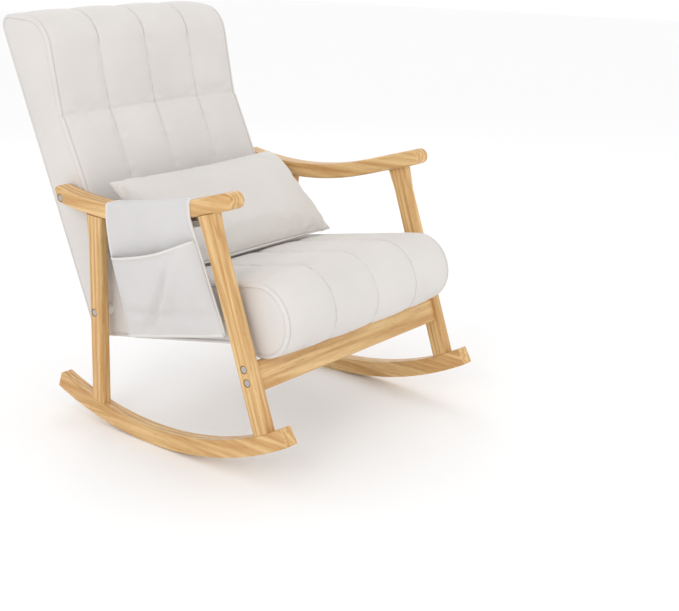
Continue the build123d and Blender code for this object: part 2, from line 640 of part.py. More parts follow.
SPACERS = {"arm_spacers": (ARM_BOLT, ARM_INNER_X, 12), "leg_spacers": (REAR_LEG_BOLT, REAR_LEG_INNER_X, 15)}
for name, (spot, inner_x, radius) in SPACERS.items():
    with BuildPart() as spacers:
        for side in SIDES.values():
            rods(bolt_planes(side, inner_x, [spot]), radius, inner_x - BODY_HALF_WIDTH)
            drill(bolt_planes(side, inner_x, [spot]), BOLT_RADIUS, inner_x - BODY_HALF_WIDTH)
    finish(spacers, name)

with BuildPart() as tee_nuts:
    for side in SIDES.values():
        rods(bolt_planes(side, BOARD_X, BODY_BOLTS), 10, 2)
        drill(bolt_planes(side, BOARD_X, BODY_BOLTS), BOLT_RADIUS, 2)
finish(tee_nuts, "tee_nuts")

# Steel plates that join the seat rails to the cheeks, and their screws.
with BuildPart() as corner_plates:
    for side in SIDES.values():
        with BuildSketch(side_plane(side, BOARD_X, PLATE_THICKNESS)):
            polygon((12, 235), (12, 257), (112, 252), (112, 230))
        extrude(amount=PLATE_THICKNESS)
        drill(bolt_planes(side, BOARD_X, PLATE_SPOTS), SCREW_RADIUS, PLATE_THICKNESS)
finish(corner_plates, "corner_plates")

with BuildPart() as plate_screws:
    for side in SIDES.values():
        screw_planes = bolt_planes(-side, -(BOARD_X - PLATE_THICKNESS - SCREW_HEAD_HEIGHT), PLATE_SPOTS)
        rods(screw_planes, SCREW_HEAD_RADIUS, SCREW_HEAD_HEIGHT)
        rods(screw_planes, SCREW_RADIUS, SCREW_LENGTH)
finish(plate_screws, "corner_plate_screws")

# Steel brackets from the back of the front rail to the underside of the seat, and their screws.
RAIL_FOOT = RAIL_PLANE.from_local_coords(Vector(RAIL_THICKNESS, 14))
RAIL_HEAD = RAIL_PLANE.from_local_coords(Vector(RAIL_THICKNESS, 74))
BRACKET_THICKNESS = 3
HEAD_GAP = 0.6
with BuildPart() as seat_brackets:
    for side in SIDES.values():
        with BuildSketch(Plane.YZ.offset(side * BRACKET_X - BRACKET_WIDTH / 2)):
            foot = Vector(RAIL_FOOT.Y, RAIL_FOOT.Z)
            head = Vector(RAIL_HEAD.Y, RAIL_HEAD.Z)
            aside = Vector(NUT_AXIS[1], NUT_AXIS[2]) * BRACKET_THICKNESS
            corner = Vector(*SEAT_BOTTOM_FRONT)
            rear = corner + SEAT_ALONG * 40
            drop = SEAT_UP * -BRACKET_THICKNESS
            inner_corner = head + aside - Vector(0, BRACKET_THICKNESS)
            polygon(foot, head, corner, rear, rear + drop, corner + drop, inner_corner, foot + aside)
        extrude(amount=BRACKET_WIDTH)
    through = [plane.offset(-20) for plane in RAIL_SCREWS + SEAT_SCREWS]
    drill(through, SCREW_RADIUS, 40)
finish(seat_brackets, "seat_brackets")

with BuildPart() as bracket_screws:
    for plane in RAIL_SCREWS + SEAT_SCREWS:
        head_plane = plane.offset(-BRACKET_THICKNESS - SCREW_HEAD_HEIGHT - HEAD_GAP)
        rods([head_plane], SCREW_HEAD_RADIUS, SCREW_HEAD_HEIGHT)
        rods([head_plane], SCREW_RADIUS, SCREW_LENGTH)
finish(bracket_screws, "bracket_screws")

# Loose pillow, leaning from the seat to the back, with its zip along the lower edge.
PILLOW_PLANE = Plane(origin=(0, *PILLOW_CENTRE), x_dir=(1, 0, 0), z_dir=(0, -PILLOW_LEAN[1], PILLOW_LEAN[0]))
with BuildPart() as pillow:
    with BuildSketch(PILLOW_PLANE.offset(-PILLOW_SIZE[2] / 2)):
        Rectangle(PILLOW_SIZE[0], PILLOW_SIZE[1])
    extrude(amount=PILLOW_SIZE[2])
    fillet(pillow.edges().filter_by(Axis.X), PILLOW_ROUND)
    fillet(pillow.edges().filter_by(lambda e: abs(e.center().X) > PILLOW_SIZE[0] / 2 - 1), 20)
finish(pillow, "lumbar_pillow")

ZIP_LENGTH = 360
with BuildPart() as pillow_zip:
    with BuildSketch(PILLOW_PLANE.offset(-3)):
        with Locations((0, -PILLOW_SIZE[1] / 2 - 1)):
            Rectangle(ZIP_LENGTH, 2)
    extrude(amount=6)
finish(pillow_zip, "pillow_zip")

# Side pocket: a cloth sling hung over the right armrest, with a pouch on its outer face.
SLING_OUT_X = -ARM_OUTER_X - POCKET_GAP - CLOTH
SLING_IN_X = -ARM_INNER_X + POCKET_GAP + CLOTH
FALL = radians(12.5)
SECTION = Plane(origin=(0, -75, 400), x_dir=(1, 0, 0), z_dir=(0, -cos(FALL), sin(FALL)))
ARM_UNDER_B = 112
PANEL_FOOT_B = -140
PANEL_FOOT_X = -317


def arm_band(above, below, mode):
    """Side view of a band around the armrest's centre line, over the sling's length."""
    ys = (POCKET_TOP_FRONT_Y, -75, POCKET_TOP_REAR_Y)
    upper = [(y, arm_centre_z(y) + above) for y in ys]
    lower = [(y, arm_centre_z(y) - below) for y in reversed(ys)]
    polygon(*upper, *lower, mode=mode)


def panel_strip(cloth_out, cloth_in, mode=Mode.ADD):
    """Cross-section of the hanging panel, between two distances outside its middle line."""
    polygon(
        (SLING_OUT_X + CLOTH - cloth_out, ARM_UNDER_B),
        (PANEL_FOOT_X + CLOTH - cloth_out, PANEL_FOOT_B),
        (PANEL_FOOT_X + CLOTH - cloth_in, PANEL_FOOT_B),
        (SLING_OUT_X + CLOTH - cloth_in, ARM_UNDER_B),
        mode=mode,
    )


with BuildPart() as sling:
    with BuildSketch(Plane.YZ.offset(-1000)):
        polygon((POCKET_TOP_FRONT_Y, 540), POCKET_BOTTOM_FRONT, POCKET_BOTTOM_REAR, (POCKET_TOP_REAR_Y, 490))
    extrude(amount=1000)
    with BuildSketch(SECTION):
        panel_strip(CLOTH, 0)
    extrude(amount=500, both=True, mode=Mode.INTERSECT)
    with BuildSketch(Plane.YZ.offset(SLING_OUT_X)):
        arm_outline(ARM_HEIGHT + 2 * (POCKET_GAP + CLOTH))
        arm_band(60, 0, Mode.INTERSECT)
        arm_band(2, 42, Mode.ADD)
    extrude(amount=SLING_IN_X - SLING_OUT_X)
    with BuildSketch(Plane.YZ.offset(SLING_OUT_X + CLOTH)):
        arm_outline(ARM_HEIGHT + 2 * POCKET_GAP)
        arm_band(0, 80, Mode.ADD)
    extrude(amount=SLING_IN_X - SLING_OUT_X - 2 * CLOTH, mode=Mode.SUBTRACT)
finish(sling, "pocket_sling")


def mouth_z(y):
    rise = (MOUTH_FRONT_Z - MOUTH_REAR_Z) / (POCKET_TOP_REAR_Y - POCKET_TOP_FRONT_Y)
    return MOUTH_REAR_Z + (POCKET_TOP_REAR_Y - y) * rise


POUCH_FRONT_Y = -217
POUCH_REAR_Y = 48
POUCH_OUT_X = -346.5
POUCH_MID_B = -30
POUCH_TOP_B = 160
POUCH_FOOT_DEPTH = 5


def pouch_block(inset, top_lift, out_x):
    """The pouch's space: its side outline run through, cut to its wedge-shaped cross-section."""
    with BuildPart(mode=Mode.PRIVATE) as block:
        with BuildSketch(Plane.YZ.offset(-400)):
            polygon(
                (POUCH_FRONT_Y + inset, mouth_z(POUCH_FRONT_Y) + top_lift),
                (POCKET_BOTTOM_FRONT[0] + inset, POCKET_BOTTOM_FRONT[1] + inset),
                (POCKET_BOTTOM_REAR[0] - inset, POCKET_BOTTOM_REAR[1] + inset),
                (POUCH_REAR_Y - inset, mouth_z(POUCH_REAR_Y) + top_lift),
            )
        extrude(amount=200)
        with BuildSketch(SECTION):
            polygon(
                (out_x, POUCH_TOP_B),
                (out_x, POUCH_MID_B),
                (PANEL_FOOT_X + out_x - POUCH_OUT_X - POUCH_FOOT_DEPTH, PANEL_FOOT_B),
                (PANEL_FOOT_X, PANEL_FOOT_B),
                (SLING_OUT_X, ARM_UNDER_B),
                (SLING_OUT_X, POUCH_TOP_B),
            )
        extrude(amount=500, both=True, mode=Mode.INTERSECT)
    return block.part


pouch_outside = pouch_block(0, 0, POUCH_OUT_X)
pouch_inside = pouch_block(CLOTH, 40, POUCH_OUT_X + CLOTH)
with BuildPart() as pouch:
    add(pouch_outside)
    add(pouch_inside, mode=Mode.SUBTRACT)
finish(pouch, "pocket_pouch")

# Binding down the pocket's front edge.
HEM_WIDTH = 5
with BuildPart() as hem:
    with BuildSketch(Plane.YZ.offset(-400)):
        polygon(
            (POCKET_TOP_FRONT_Y, 545),
            POCKET_BOTTOM_FRONT,
            (POCKET_BOTTOM_FRONT[0] - HEM_WIDTH, POCKET_BOTTOM_FRONT[1]),
            (POCKET_TOP_FRONT_Y - HEM_WIDTH, 545),
        )
    extrude(amount=200)
    with BuildSketch(SECTION):
        panel_strip(CLOTH + 0.5, -0.5)
    extrude(amount=500, both=True, mode=Mode.INTERSECT)
finish(hem, "pocket_hem")

# Hook-and-loop straps that close the sling under the armrest.
STRAP_WIDTH = 25
with BuildPart() as straps:
    for y in (-185, 20):
        with BuildSketch(Plane.XZ.offset(-y - STRAP_WIDTH)):
            with Locations(((SLING_OUT_X + SLING_IN_X) / 2, arm_centre_z(y + STRAP_WIDTH / 2) - 26)):
                Rectangle(SLING_IN_X - SLING_OUT_X - 2 * CLOTH, 1.5)
        extrude(amount=STRAP_WIDTH)
finish(straps, "pocket_straps")
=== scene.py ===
"""Looks of the rocking nursery armchair: padded seat and back, loose pillow, cloth pocket, lacquered wood.

Metres, +Z up, the chair faces -Y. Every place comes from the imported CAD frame.
"""

import json
import math

import bmesh
import bpy
import numpy as np
from mathutils import Matrix, Vector, noise
from mathutils.bvhtree import BVHTree


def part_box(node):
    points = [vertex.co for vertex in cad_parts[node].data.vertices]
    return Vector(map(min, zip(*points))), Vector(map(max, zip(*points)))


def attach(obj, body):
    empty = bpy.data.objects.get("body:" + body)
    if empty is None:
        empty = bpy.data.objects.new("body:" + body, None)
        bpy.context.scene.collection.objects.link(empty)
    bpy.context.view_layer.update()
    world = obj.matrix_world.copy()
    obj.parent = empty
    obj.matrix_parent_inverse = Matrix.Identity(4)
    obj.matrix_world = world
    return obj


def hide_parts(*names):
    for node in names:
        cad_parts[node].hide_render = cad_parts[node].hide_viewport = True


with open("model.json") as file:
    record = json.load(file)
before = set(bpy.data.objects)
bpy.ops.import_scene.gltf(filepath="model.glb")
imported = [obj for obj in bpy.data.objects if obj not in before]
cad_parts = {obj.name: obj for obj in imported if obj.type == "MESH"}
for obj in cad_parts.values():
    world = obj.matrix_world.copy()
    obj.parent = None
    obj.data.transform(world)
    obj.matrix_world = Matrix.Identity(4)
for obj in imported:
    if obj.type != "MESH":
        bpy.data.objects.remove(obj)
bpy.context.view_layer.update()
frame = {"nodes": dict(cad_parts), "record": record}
nodes = frame["nodes"]

MM = 0.001
CHANNELS = 4


# ---------------------------------------------------------------- mesh helpers


def new_object(name, verts, faces, smooth=True):
    mesh = bpy.data.meshes.new(name)
    mesh.from_pydata([tuple(v) for v in verts], [], faces)
    mesh.validate()
    made = bpy.data.objects.new(name, mesh)
    bpy.context.scene.collection.objects.link(made)
    for polygon in mesh.polygons:
        polygon.use_smooth = smooth
    return made


def outward(made):
    """Turns a closed mesh's faces to point out."""
    bm = bmesh.new()
    bm.from_mesh(made.data)
    bmesh.ops.recalc_face_normals(bm, faces=bm.faces)
    bm.to_mesh(made.data)
    bm.free()


def coordinates(made):
    co = np.zeros(len(made.data.vertices) * 3)
    made.data.vertices.foreach_get("co", co)
    return co.reshape(-1, 3)


def set_coordinates(made, co):
    made.data.vertices.foreach_set("co", np.asarray(co, float).ravel())
    made.data.update()


def bake(made):
    """Applies an object's modifiers to its mesh."""
    graph = bpy.context.evaluated_depsgraph_get()
    mesh = bpy.data.meshes.new_from_object(made.evaluated_get(graph))
    made.modifiers.clear()
    made.data = mesh
    for polygon in mesh.polygons:
        polygon.use_smooth = True


def subdivide(made):
    """One level of Catmull-Clark subdivision."""
    modifier = made.modifiers.new("subdivide", "SUBSURF")
    modifier.levels = modifier.render_levels = 1
    bake(made)


def thicken(made, thickness):
    """Gives a sheet its thickness, half to each side."""
    modifier = made.modifiers.new("thickness", "SOLIDIFY")
    modifier.thickness = thickness
    modifier.offset = 0
    bake(made)


def inflate(made, pinned, pressure, frames, cap, slack=0.0, stiffness=15):
    """Cloth simulation under pressure, with pinned vertices held still and every move capped."""
    start = coordinates(made)
    group = made.vertex_groups.new(name="pinned")
    group.add([int(i) for i in pinned], 1.0, "REPLACE")
    modifier = made.modifiers.new("cloth", "CLOTH")
    settings = modifier.settings
    settings.quality = 4
    settings.mass = 0.3
    settings.tension_stiffness = settings.compression_stiffness = stiffness
    settings.shear_stiffness = stiffness / 2
    settings.bending_stiffness = 0.2
    settings.air_damping = 2
    settings.use_pressure = True
    settings.uniform_pressure_force = pressure
    settings.shrink_min = -slack
    settings.effector_weights.gravity = 0
    if len(pinned):
        settings.vertex_group_mass = "pinned"
    modifier.collision_settings.use_collision = False
    modifier.point_cache.frame_start = 1
    modifier.point_cache.frame_end = frames
    scene = bpy.context.scene
    for step in range(1, frames + 1):
        scene.frame_set(step)
    graph = bpy.context.evaluated_depsgraph_get()
    mesh = bpy.data.meshes.new_from_object(made.evaluated_get(graph))
    moved = np.zeros(len(mesh.vertices) * 3)
    mesh.vertices.foreach_get("co", moved)
    bpy.data.meshes.remove(mesh)
    made.modifiers.clear()
    made.vertex_groups.clear()
    scene.frame_set(1)
    move = moved.reshape(-1, 3) - start
    length = np.linalg.norm(move, axis=1)
    move *= (np.minimum(length, cap) / np.maximum(length, 1e-9))[:, None]
    set_coordinates(made, start + move)


# ---------------------------------------------------------------- profiles from the frame


def side_profile(node):
    """Outline (y, z) of a flat side panel of the CAD, in order round its edge."""
    mesh = nodes[node].data
    face_x = max((v.co.x for v in mesh.vertices), key=abs)
    flat = [p for p in mesh.polygons if all(abs(mesh.vertices[i].co.x - face_x) < 1e-5 for i in p.vertices)]
    key = {v.index: (round(v.co.y, 5), round(v.co.z, 5)) for v in mesh.vertices}
    edges = {}
    for polygon in flat:
        corners = [key[i] for i in polygon.vertices]
        for a, b in zip(corners, corners[1:] + corners[:1]):
            edges[(a, b)] = edges.get((a, b), 0) + 1
    border = {a: b for a, b in edges if (b, a) not in edges}
    loops = []
    while border:
        start = next(iter(border))
        loop = [start]
        while loop[-1] in border:
            following = border.pop(loop[-1])
            if following == start:
                break
            loop.append(following)
        loops.append(loop)
    longest = max(loops, key=lambda l: sum(math.dist(a, b) for a, b in zip(l, l[1:])))
    return abs(face_x), np.array(longest)


def cut_profile(points, corners):
    """Splits a closed outline at its points nearest the corners: one path per corner, in order."""
    at = [int(np.argmin(np.linalg.norm(points - np.array(c), axis=1))) for c in corners]
    count = len(points)
    forward = [(at[(k + 1) % len(at)] - at[k]) % count for k in range(len(at))]
    if sum(forward) != count:
        return cut_profile(points[::-1], corners)
    return [points[[(a + k) % count for k in range(n + 1)]] for a, n in zip(at, forward)]


def even(path, count):
    """The path resampled to count points, evenly spaced."""
    length = np.concatenate([[0], np.cumsum(np.linalg.norm(np.diff(path, axis=0), axis=1))])
    wanted = np.linspace(0, length[-1], count)
    return np.stack([np.interp(wanted, length, path[:, k]) for k in (0, 1)], axis=1)


# ---------------------------------------------------------------- upholstered bodies

# Distance in from a side seam, and how far the cloth stands out there, both in mm: a welt, its
# stitch line and a second rise, on the long panel and then on the side panel.
WELT = [(0.0, 0.0), (1.0, 2.0), (3.6, 2.4), (5.6, 1.6), (6.8, -3.0), (8.0, 1.2), (13.0, 2.2)]
SIDE_INSETS = [(1.6, 2.2), (4.6, 2.0), (6.0, -2.6), (7.4, 1.2), (13.0, 1.6)]
GROOVE_INSET = 6.8
SIDE_PANEL_RISE = 5 * MM
EDGE_CLEARANCE = 0.012


# Distances either side of a channel seam where the cloth needs its own rows.
SEAM_STEPS = [0.0, 0.9, 2.0, 4.0, 8.0, 15.0]


def channel_stations(half_width):
    """Stations from -1 to 1 across the width, gathered at the seams between the channels."""
    seams = np.linspace(-1, 1, CHANNELS + 1)
    wide = SEAM_STEPS[-1] * MM / half_width
    found = []
    for left, right in zip(seams, seams[1:]):
        found += [left + step * MM / half_width for step in SEAM_STEPS]
        found += list(np.linspace(left + wide, right - wide, 13)[1:-1])
        found += [right - step * MM / half_width for step in reversed(SEAM_STEPS[1:])]
    return found


class Upholstery:
    """A closed padded body: rings round the profile at each station in x, and a grid over each side."""

    def __init__(self, name, half_width, paths, cells):
        self.name = name
        self.half = half_width
        counts = [cells[0], cells[1], cells[0], cells[1]]
        self.starts = np.cumsum([0] + counts[:-1])
        ring = [
            (path if len(path) == count + 1 else even(path, count + 1))[:-1]
            for path, count in zip(paths, counts)
        ]
        self.ring = np.concatenate(ring)
        self.cells = cells
        self.normals = self.ring_normals(self.ring)
        limit = 1 - WELT[-1][0] * MM / half_width
        inner = np.array(channel_stations(half_width))
        inner = inner[np.abs(inner) < limit - EDGE_CLEARANCE]
        edge = [1 - depth * MM / half_width for depth, rise in WELT]
        self.stations = np.array([-e for e in edge] + list(inner) + edge[::-1])
        self.welt = np.array([rise * MM for depth, rise in WELT])
        self.build()

    @staticmethod
    def ring_normals(ring):
        ahead = np.roll(ring, -1, axis=0) - np.roll(ring, 1, axis=0)
        ahead /= np.linalg.norm(ahead, axis=1)[:, None]
        normal = np.stack([ahead[:, 1], -ahead[:, 0]], axis=1)
        centre = ring.mean(axis=0)
        outside = ((ring - centre) * normal).sum()
        return normal if outside > 0 else -normal

    def span(self, k):
        """Which of the four paths ring point k is on, and how far along it."""
        path = int(np.searchsorted(self.starts, k, side="right") - 1)
        count = self.cells[path % 2]
        return path, (k - self.starts[path]) / count

    def rise(self, x, k):
        """How far the cloth stands out at station x of -1 to 1 and ring point k."""
        raise NotImplementedError

    def side_rise(self, u, v):
        return SIDE_PANEL_RISE * (math.sin(math.pi * u) * math.sin(math.pi * v)) ** 0.6

    def build(self):
        verts, faces = [], []
        size = len(self.ring)
        edge_count = len(WELT)
        last = len(self.stations) - 1
        for s, x in enumerate(self.stations):
            depth = min(s, last - s)
            for k in range(size):
                lift = self.rise(x, k) + self.welt[min(depth, edge_count - 1)] * self.welt_share(k)
                point = self.ring[k] + self.normals[k] * lift
                verts.append((x * self.half, point[0], point[1]))
        for s in range(last):
            for k in range(size):
                a, b = s * size + k, s * size + (k + 1) % size
                faces.append((a, b, b + size, a + size))
        for sign, base in ((-1, 0), (1, last * size)):
            self.fill_side(verts, faces, sign, base)
        self.object = new_object(self.name, verts, faces)
        outward(self.object)

    def fill_side(self, verts, faces, sign, base):
        """Inset rings for the seam, then a Coons grid over the rest of the side."""
        size = len(self.ring)
        previous = [base + k for k in range(size)]
        for inset, rise in SIDE_INSETS:
            ring = self.ring - self.normals * inset * MM
            current = []
            for k in range(size):
                current.append(len(verts))
                verts.append((sign * (self.half + rise * MM), ring[k][0], ring[k][1]))
            for k in range(size):
                j = (k + 1) % size
                faces.append((previous[k], previous[j], current[j], current[k]))
            previous = current
        p, q = self.cells
        corner = lambda index: previous[index % size]
        west = [corner(k) for k in range(0, p + 1)]
        north = [corner(k) for k in range(p, p + q + 1)]
        east = [corner(k) for k in range(p + q, 2 * p + q + 1)][::-1]
        south = [corner(k) for k in range(2 * p + q, 2 * p + 2 * q + 1)][::-1]
        at = lambda index: np.array(verts[index])[1:]
        grid = {}
        for i in range(p + 1):
            for j in range(q + 1):
                if j == 0:
                    grid[i, j] = west[i]
                elif j == q:
                    grid[i, j] = east[i]
                elif i == 0:
                    grid[i, j] = south[j]
                elif i == p:
                    grid[i, j] = north[j]
                else:
                    u, v = i / p, j / q
                    along = (1 - v) * at(west[i]) + v * at(east[i])
                    across = (1 - u) * at(south[j]) + u * at(north[j])
                    ends = (
                        (1 - u) * (1 - v) * at(west[0])
                        + u * (1 - v) * at(west[p])
                        + (1 - u) * v * at(east[0])
                        + u * v * at(east[p])
                    )
                    point = along + across - ends
                    out = self.half + SIDE_INSETS[-1][1] * MM + self.side_rise(u, v)
                    grid[i, j] = len(verts)
                    verts.append((sign * out, point[0], point[1]))
        for i in range(p):
            for j in range(q):
                faces.append((grid[i, j], grid[i + 1, j], grid[i + 1, j + 1], grid[i, j + 1]))

    def welt_share(self, k):
        return 1.0


def smoothstep(value):
    value = min(max(value, 0.0), 1.0)
    return value * value * (3 - 2 * value)


GROOVE_HALF = 1.5 * MM


def channel_rise(x, half_width, puff, groove):
    """Height across the width: a soft puff between two seams, and a narrow groove at each inner seam."""
    place = (x + 1) / 2 * CHANNELS
    nearest = round(place)
    away = abs(place - nearest) * 2 * half_width / CHANNELS
    dip = groove * math.exp(-((away / GROOVE_HALF) ** 1.5)) if 0 < nearest < CHANNELS else 0.0
    return puff * abs(math.sin(math.pi * place)) ** 0.6 - dip


def crown(x, height, power=4):
    return height * (1 - abs(x) ** power)


# Back: paths run up the front, over the top, down the rear and along the bottom.
back_x, back_outline = side_profile("back_side_cover_left")
back_lo, back_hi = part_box("back_side_cover_left")
seat_x, seat_outline = side_profile("seat_side_cover_left")
seat_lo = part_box("seat_side_cover_left")[0]

joint_low = min(back_outline.tolist(), key=lambda p: p[0])
back_foot = min(back_outline.tolist(), key=lambda p: p[1])
back_corners = [
    tuple(joint_low),
    (back_lo.y + 0.60 * (back_hi.y - back_lo.y), back_hi.z),
    (back_hi.y, back_hi.z),
    tuple(back_foot),
]
back_paths = cut_profile(back_outline, back_corners)
BACK_CELLS = (92, 17)
KINK_Z = 0.709
PILLOW_TOP_Z = 0.59
REAR_CROWN = 3 * MM
BACK_CROWN = 7 * MM
BACK_PUFF = 4.5 * MM
BACK_GROOVE = 3.8 * MM
CROSS_FLAT = 4 * MM
CROSS_REACH = 0.045
CROSS_GROOVE = 5.5 * MM


class Back(Upholstery):
    def rise(self, x, k):
        path, along = self.span(k)
        z = self.ring[k][1]
        if path == 3:
            return 0.0
        if path == 2:
            return crown(x, REAR_CROWN)
        fade = smoothstep((z - PILLOW_TOP_Z + 0.10) / 0.16)
        if path == 1:
            fade = 1 - smoothstep((along - 0.45) / 0.5)
        puff = channel_rise(x, self.half, BACK_PUFF, BACK_GROOVE)
        dip = 0.0
        if path == 0:
            across = abs(z - KINK_Z)
            wave = abs(math.sin(math.pi * (x + 1) / 2 * CHANNELS))
            puff -= CROSS_FLAT * (1 - smoothstep(across / CROSS_REACH)) * wave
            dip = CROSS_GROOVE * math.exp(-((across / (1.5 * GROOVE_HALF)) ** 1.5))
        return fade * (crown(x, BACK_CROWN) + puff - dip)

    def welt_share(self, k):
        path, along = self.span(k)
        return 1.0 if path in (0, 1, 2) else 0.3




def gathered(path, count, height, reach=34 * MM, power=1.5):
    """The path resampled to count points, drawn together where it crosses the given height."""
    length = np.concatenate([[0], np.cumsum(np.linalg.norm(np.diff(path, axis=0), axis=1))])
    order = np.argsort(path[:, 1])
    crossing = np.interp(height, path[order, 1], length[order])
    wanted = np.linspace(0, length[-1], count)
    cell = wanted[1]
    wanted[1:-1] += (crossing - (round(crossing / cell - 0.5) + 0.5) * cell)
    off = wanted - crossing
    near = np.abs(off) < reach
    wanted[near] = crossing + np.sign(off[near]) * reach * (np.abs(off[near]) / reach) ** power
    return np.stack([np.interp(wanted, length, path[:, k]) for k in (0, 1)], axis=1)


back_paths[0] = gathered(back_paths[0], BACK_CELLS[0] + 1, KINK_Z)
back = Back("back_upholstery", back_x, back_paths, BACK_CELLS)

# Seat: paths run up the rear edge, forward along the top, down the nose and back along the bottom.
NOSE_R = 0.078
nose_y = seat_lo.y + NOSE_R
nose_z = max(seat_outline.tolist(), key=lambda p: p[1])[1] - NOSE_R
seat_corners = [
    tuple(min((p for p in seat_outline.tolist() if p[0] > 0.0), key=lambda p: p[1])),
    tuple(max(seat_outline.tolist(), key=lambda p: p[0])),
    (nose_y - NOSE_R * 0.5, nose_z + NOSE_R * 0.87),
    (nose_y - NOSE_R * 0.5, nose_z - NOSE_R * 0.87),
]
seat_paths = cut_profile(seat_outline, seat_corners)
SEAT_CELLS = (18, 64)
PILLOW_FRONT_Y = -0.01
UNDERSIDE_CROWN = 4 * MM
SEAT_GROOVE = 2.8 * MM
SEAT_CROWN_POWER = 3.2


class Seat(Upholstery):
    def rise(self, x, k):
        path, along = self.span(k)
        y = self.ring[k][0]
        if path == 0:
            return 0.0
        if path == 3:
            return UNDERSIDE_CROWN * (1 - smoothstep(along / 0.2)) * (1 - abs(x) ** 6)
        fade = smoothstep((PILLOW_FRONT_Y - y) / 0.08)
        front = smoothstep((-0.20 - y) / 0.20)
        tuck = 1 - smoothstep((along - 0.80) / 0.20) if path == 2 else 1.0
        puff = channel_rise(x, self.half, (1.5 + 1.5 * front * tuck) * MM, SEAT_GROOVE)
        return fade * (crown(x, (9 * tuck + 1) * MM, SEAT_CROWN_POWER) + puff)

    def welt_share(self, k):
        path, along = self.span(k)
        return 0.0 if path == 0 else 1.0


seat = Seat("seat_upholstery", seat_x, seat_paths, SEAT_CELLS)


def seam_vertices(body):
    """Vertices that the simulation holds: the seams and the faces that stay flat."""
    held = set()
    flat_paths = (2, 3) if isinstance(body, Back) else (0, 3)
    size = len(body.ring)
    last = len(body.stations) - 1
    for s, x in enumerate(body.stations):
        near_side = min(s, last - s) < len(WELT)
        on_seam = any(abs(x - c) < 1e-6 for c in np.linspace(-1, 1, CHANNELS + 1))
        for k in range(size):
            path, along = body.span(k)
            crossing = isinstance(body, Back) and path == 0 and abs(body.ring[k][1] - KINK_Z) < 0.0025
            if near_side or on_seam or path in flat_paths or crossing:
                held.add(s * size + k)
    held.update(range((last + 1) * size, len(body.object.data.vertices)))
    return sorted(held)


for body in (back, seat):
    inflate(body.object, seam_vertices(body), pressure=3.0, frames=12, cap=1.6 * MM, slack=0.02)


# ---------------------------------------------------------------- stitches


def stitches(name, lines, length=4.2 * MM, gap=2.2 * MM, radius=0.55 * MM):
    """Short threads laid end to end along each (points, outward) line, as one mesh."""
    verts, faces = [], []
    for points, out in lines:
        spans = [(b - a).length for a, b in zip(points, points[1:])]
        total = sum(spans)
        marks = np.concatenate([[0], np.cumsum(spans)])
        place = gap
        while place + length < total:
            ends, ups = [], []
            for mark in (place, place + length):
                k = min(int(np.searchsorted(marks, mark, side="right") - 1), len(spans) - 1)
                share = (mark - marks[k]) / max(spans[k], 1e-9)
                ends.append(points[k].lerp(points[k + 1], share))
                ups.append(out(k))
            (a, b), up = ends, ups[0]
            ahead = (b - a).normalized()
            side = ahead.cross(up).normalized()
            base = len(verts)
            for share, swell in ((0.0, 0.45), (0.25, 1.0), (0.75, 1.0), (1.0, 0.45)):
                middle = a.lerp(b, share) + up * radius * (0.7 * math.sin(math.pi * share))
                for corner in range(5):
                    angle = 2 * math.pi * corner / 5
                    verts.append(middle + (side * math.cos(angle) + up * math.sin(angle)) * radius * swell)
            for ring in range(3):
                for corner in range(5):
                    a0, a1 = base + ring * 5 + corner, base + ring * 5 + (corner + 1) % 5
                    faces.append((a0, a1, a1 + 5, a0 + 5))
            faces.append(tuple(base + corner for corner in range(4, -1, -1)))
            faces.append(tuple(base + 15 + corner for corner in range(5)))
            place += length + gap
    return new_object(name, verts, faces)


def ring_line(body, station, keep):
    """Points and normals along one station's ring where keep(path) holds, as stitch lines."""
    size = len(body.ring)
    co = coordinates(body.object)
    lines, run = [], []
    for k in list(range(size)) + [0]:
        if keep(body.span(k)[0], body.ring[k]):
            run.append(k)
        elif run:
            lines.append(run)
            run = []
    if run:
        lines.append(run)
    made = []
    for run in lines:
        if len(run) < 3:
            continue
        points = [Vector(co[station * size + k]) for k in run]
        normals = [Vector((0, *body.normals[k])) for k in run]
        points = [p + n * 0.3 * MM for p, n in zip(points, normals)]
        made.append((points, lambda k, normals=normals: normals[min(k, len(normals) - 1)]))
    return made


def side_lines(body):
    """The two stitch lines beside each side seam."""
    groove = [depth for depth, rise in WELT].index(GROOVE_INSET)
    last = len(body.stations) - 1
    shown = lambda path, point: path in (0, 1, 2)
    return ring_line(body, groove, shown) + ring_line(body, last - groove, shown)


back_stitches = stitches("back_stitching", side_lines(back))
seat_stitches = stitches("seat_stitching", side_lines(seat))

subdivide(back.object)
subdivide(seat.object)

# ---------------------------------------------------------------- loose pillow

PILLOW_LEAN = math.atan2(0.643, 0.766)
PILLOW_SIDES = (0.526, 0.268)
PILLOW_HALF_DEPTH = 50 * MM
PILLOW_CELLS = (66, 34)
EDGE_BOW = 5 * MM
PUCKER_HEIGHT = 2.2 * MM
PUCKER_REACH = 0.030
PILLOW_SAG = 4 * MM
SEAM_CORD_RADIUS = 1.5 * MM
pillow_lo, pillow_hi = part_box("lumbar_pillow")


def fullness(share, power):
    """Blunt section: nothing at both edges, full over most of the middle."""
    return max(1 - abs(2 * share - 1) ** power, 0) ** 0.5


def edge_share(step, count):
    """Evenly spaced shares, drawn towards both edges."""
    share = step / count
    middle = 0.30 * math.sin(4 * math.pi * share) / (4 * math.pi)
    ends = 0.5 * math.sin(2 * math.pi * share) / (2 * math.pi)
    return share - middle - ends


def pucker(along, depth, seed):
    """Small gathers that run in from a seam and die away."""
    broad = noise.noise(Vector((along * 55, depth * 9, seed)))
    fine = noise.noise(Vector((along * 120, 0, seed)))
    return PUCKER_HEIGHT * (broad + 0.5 * fine) * math.exp(-depth / PUCKER_REACH)


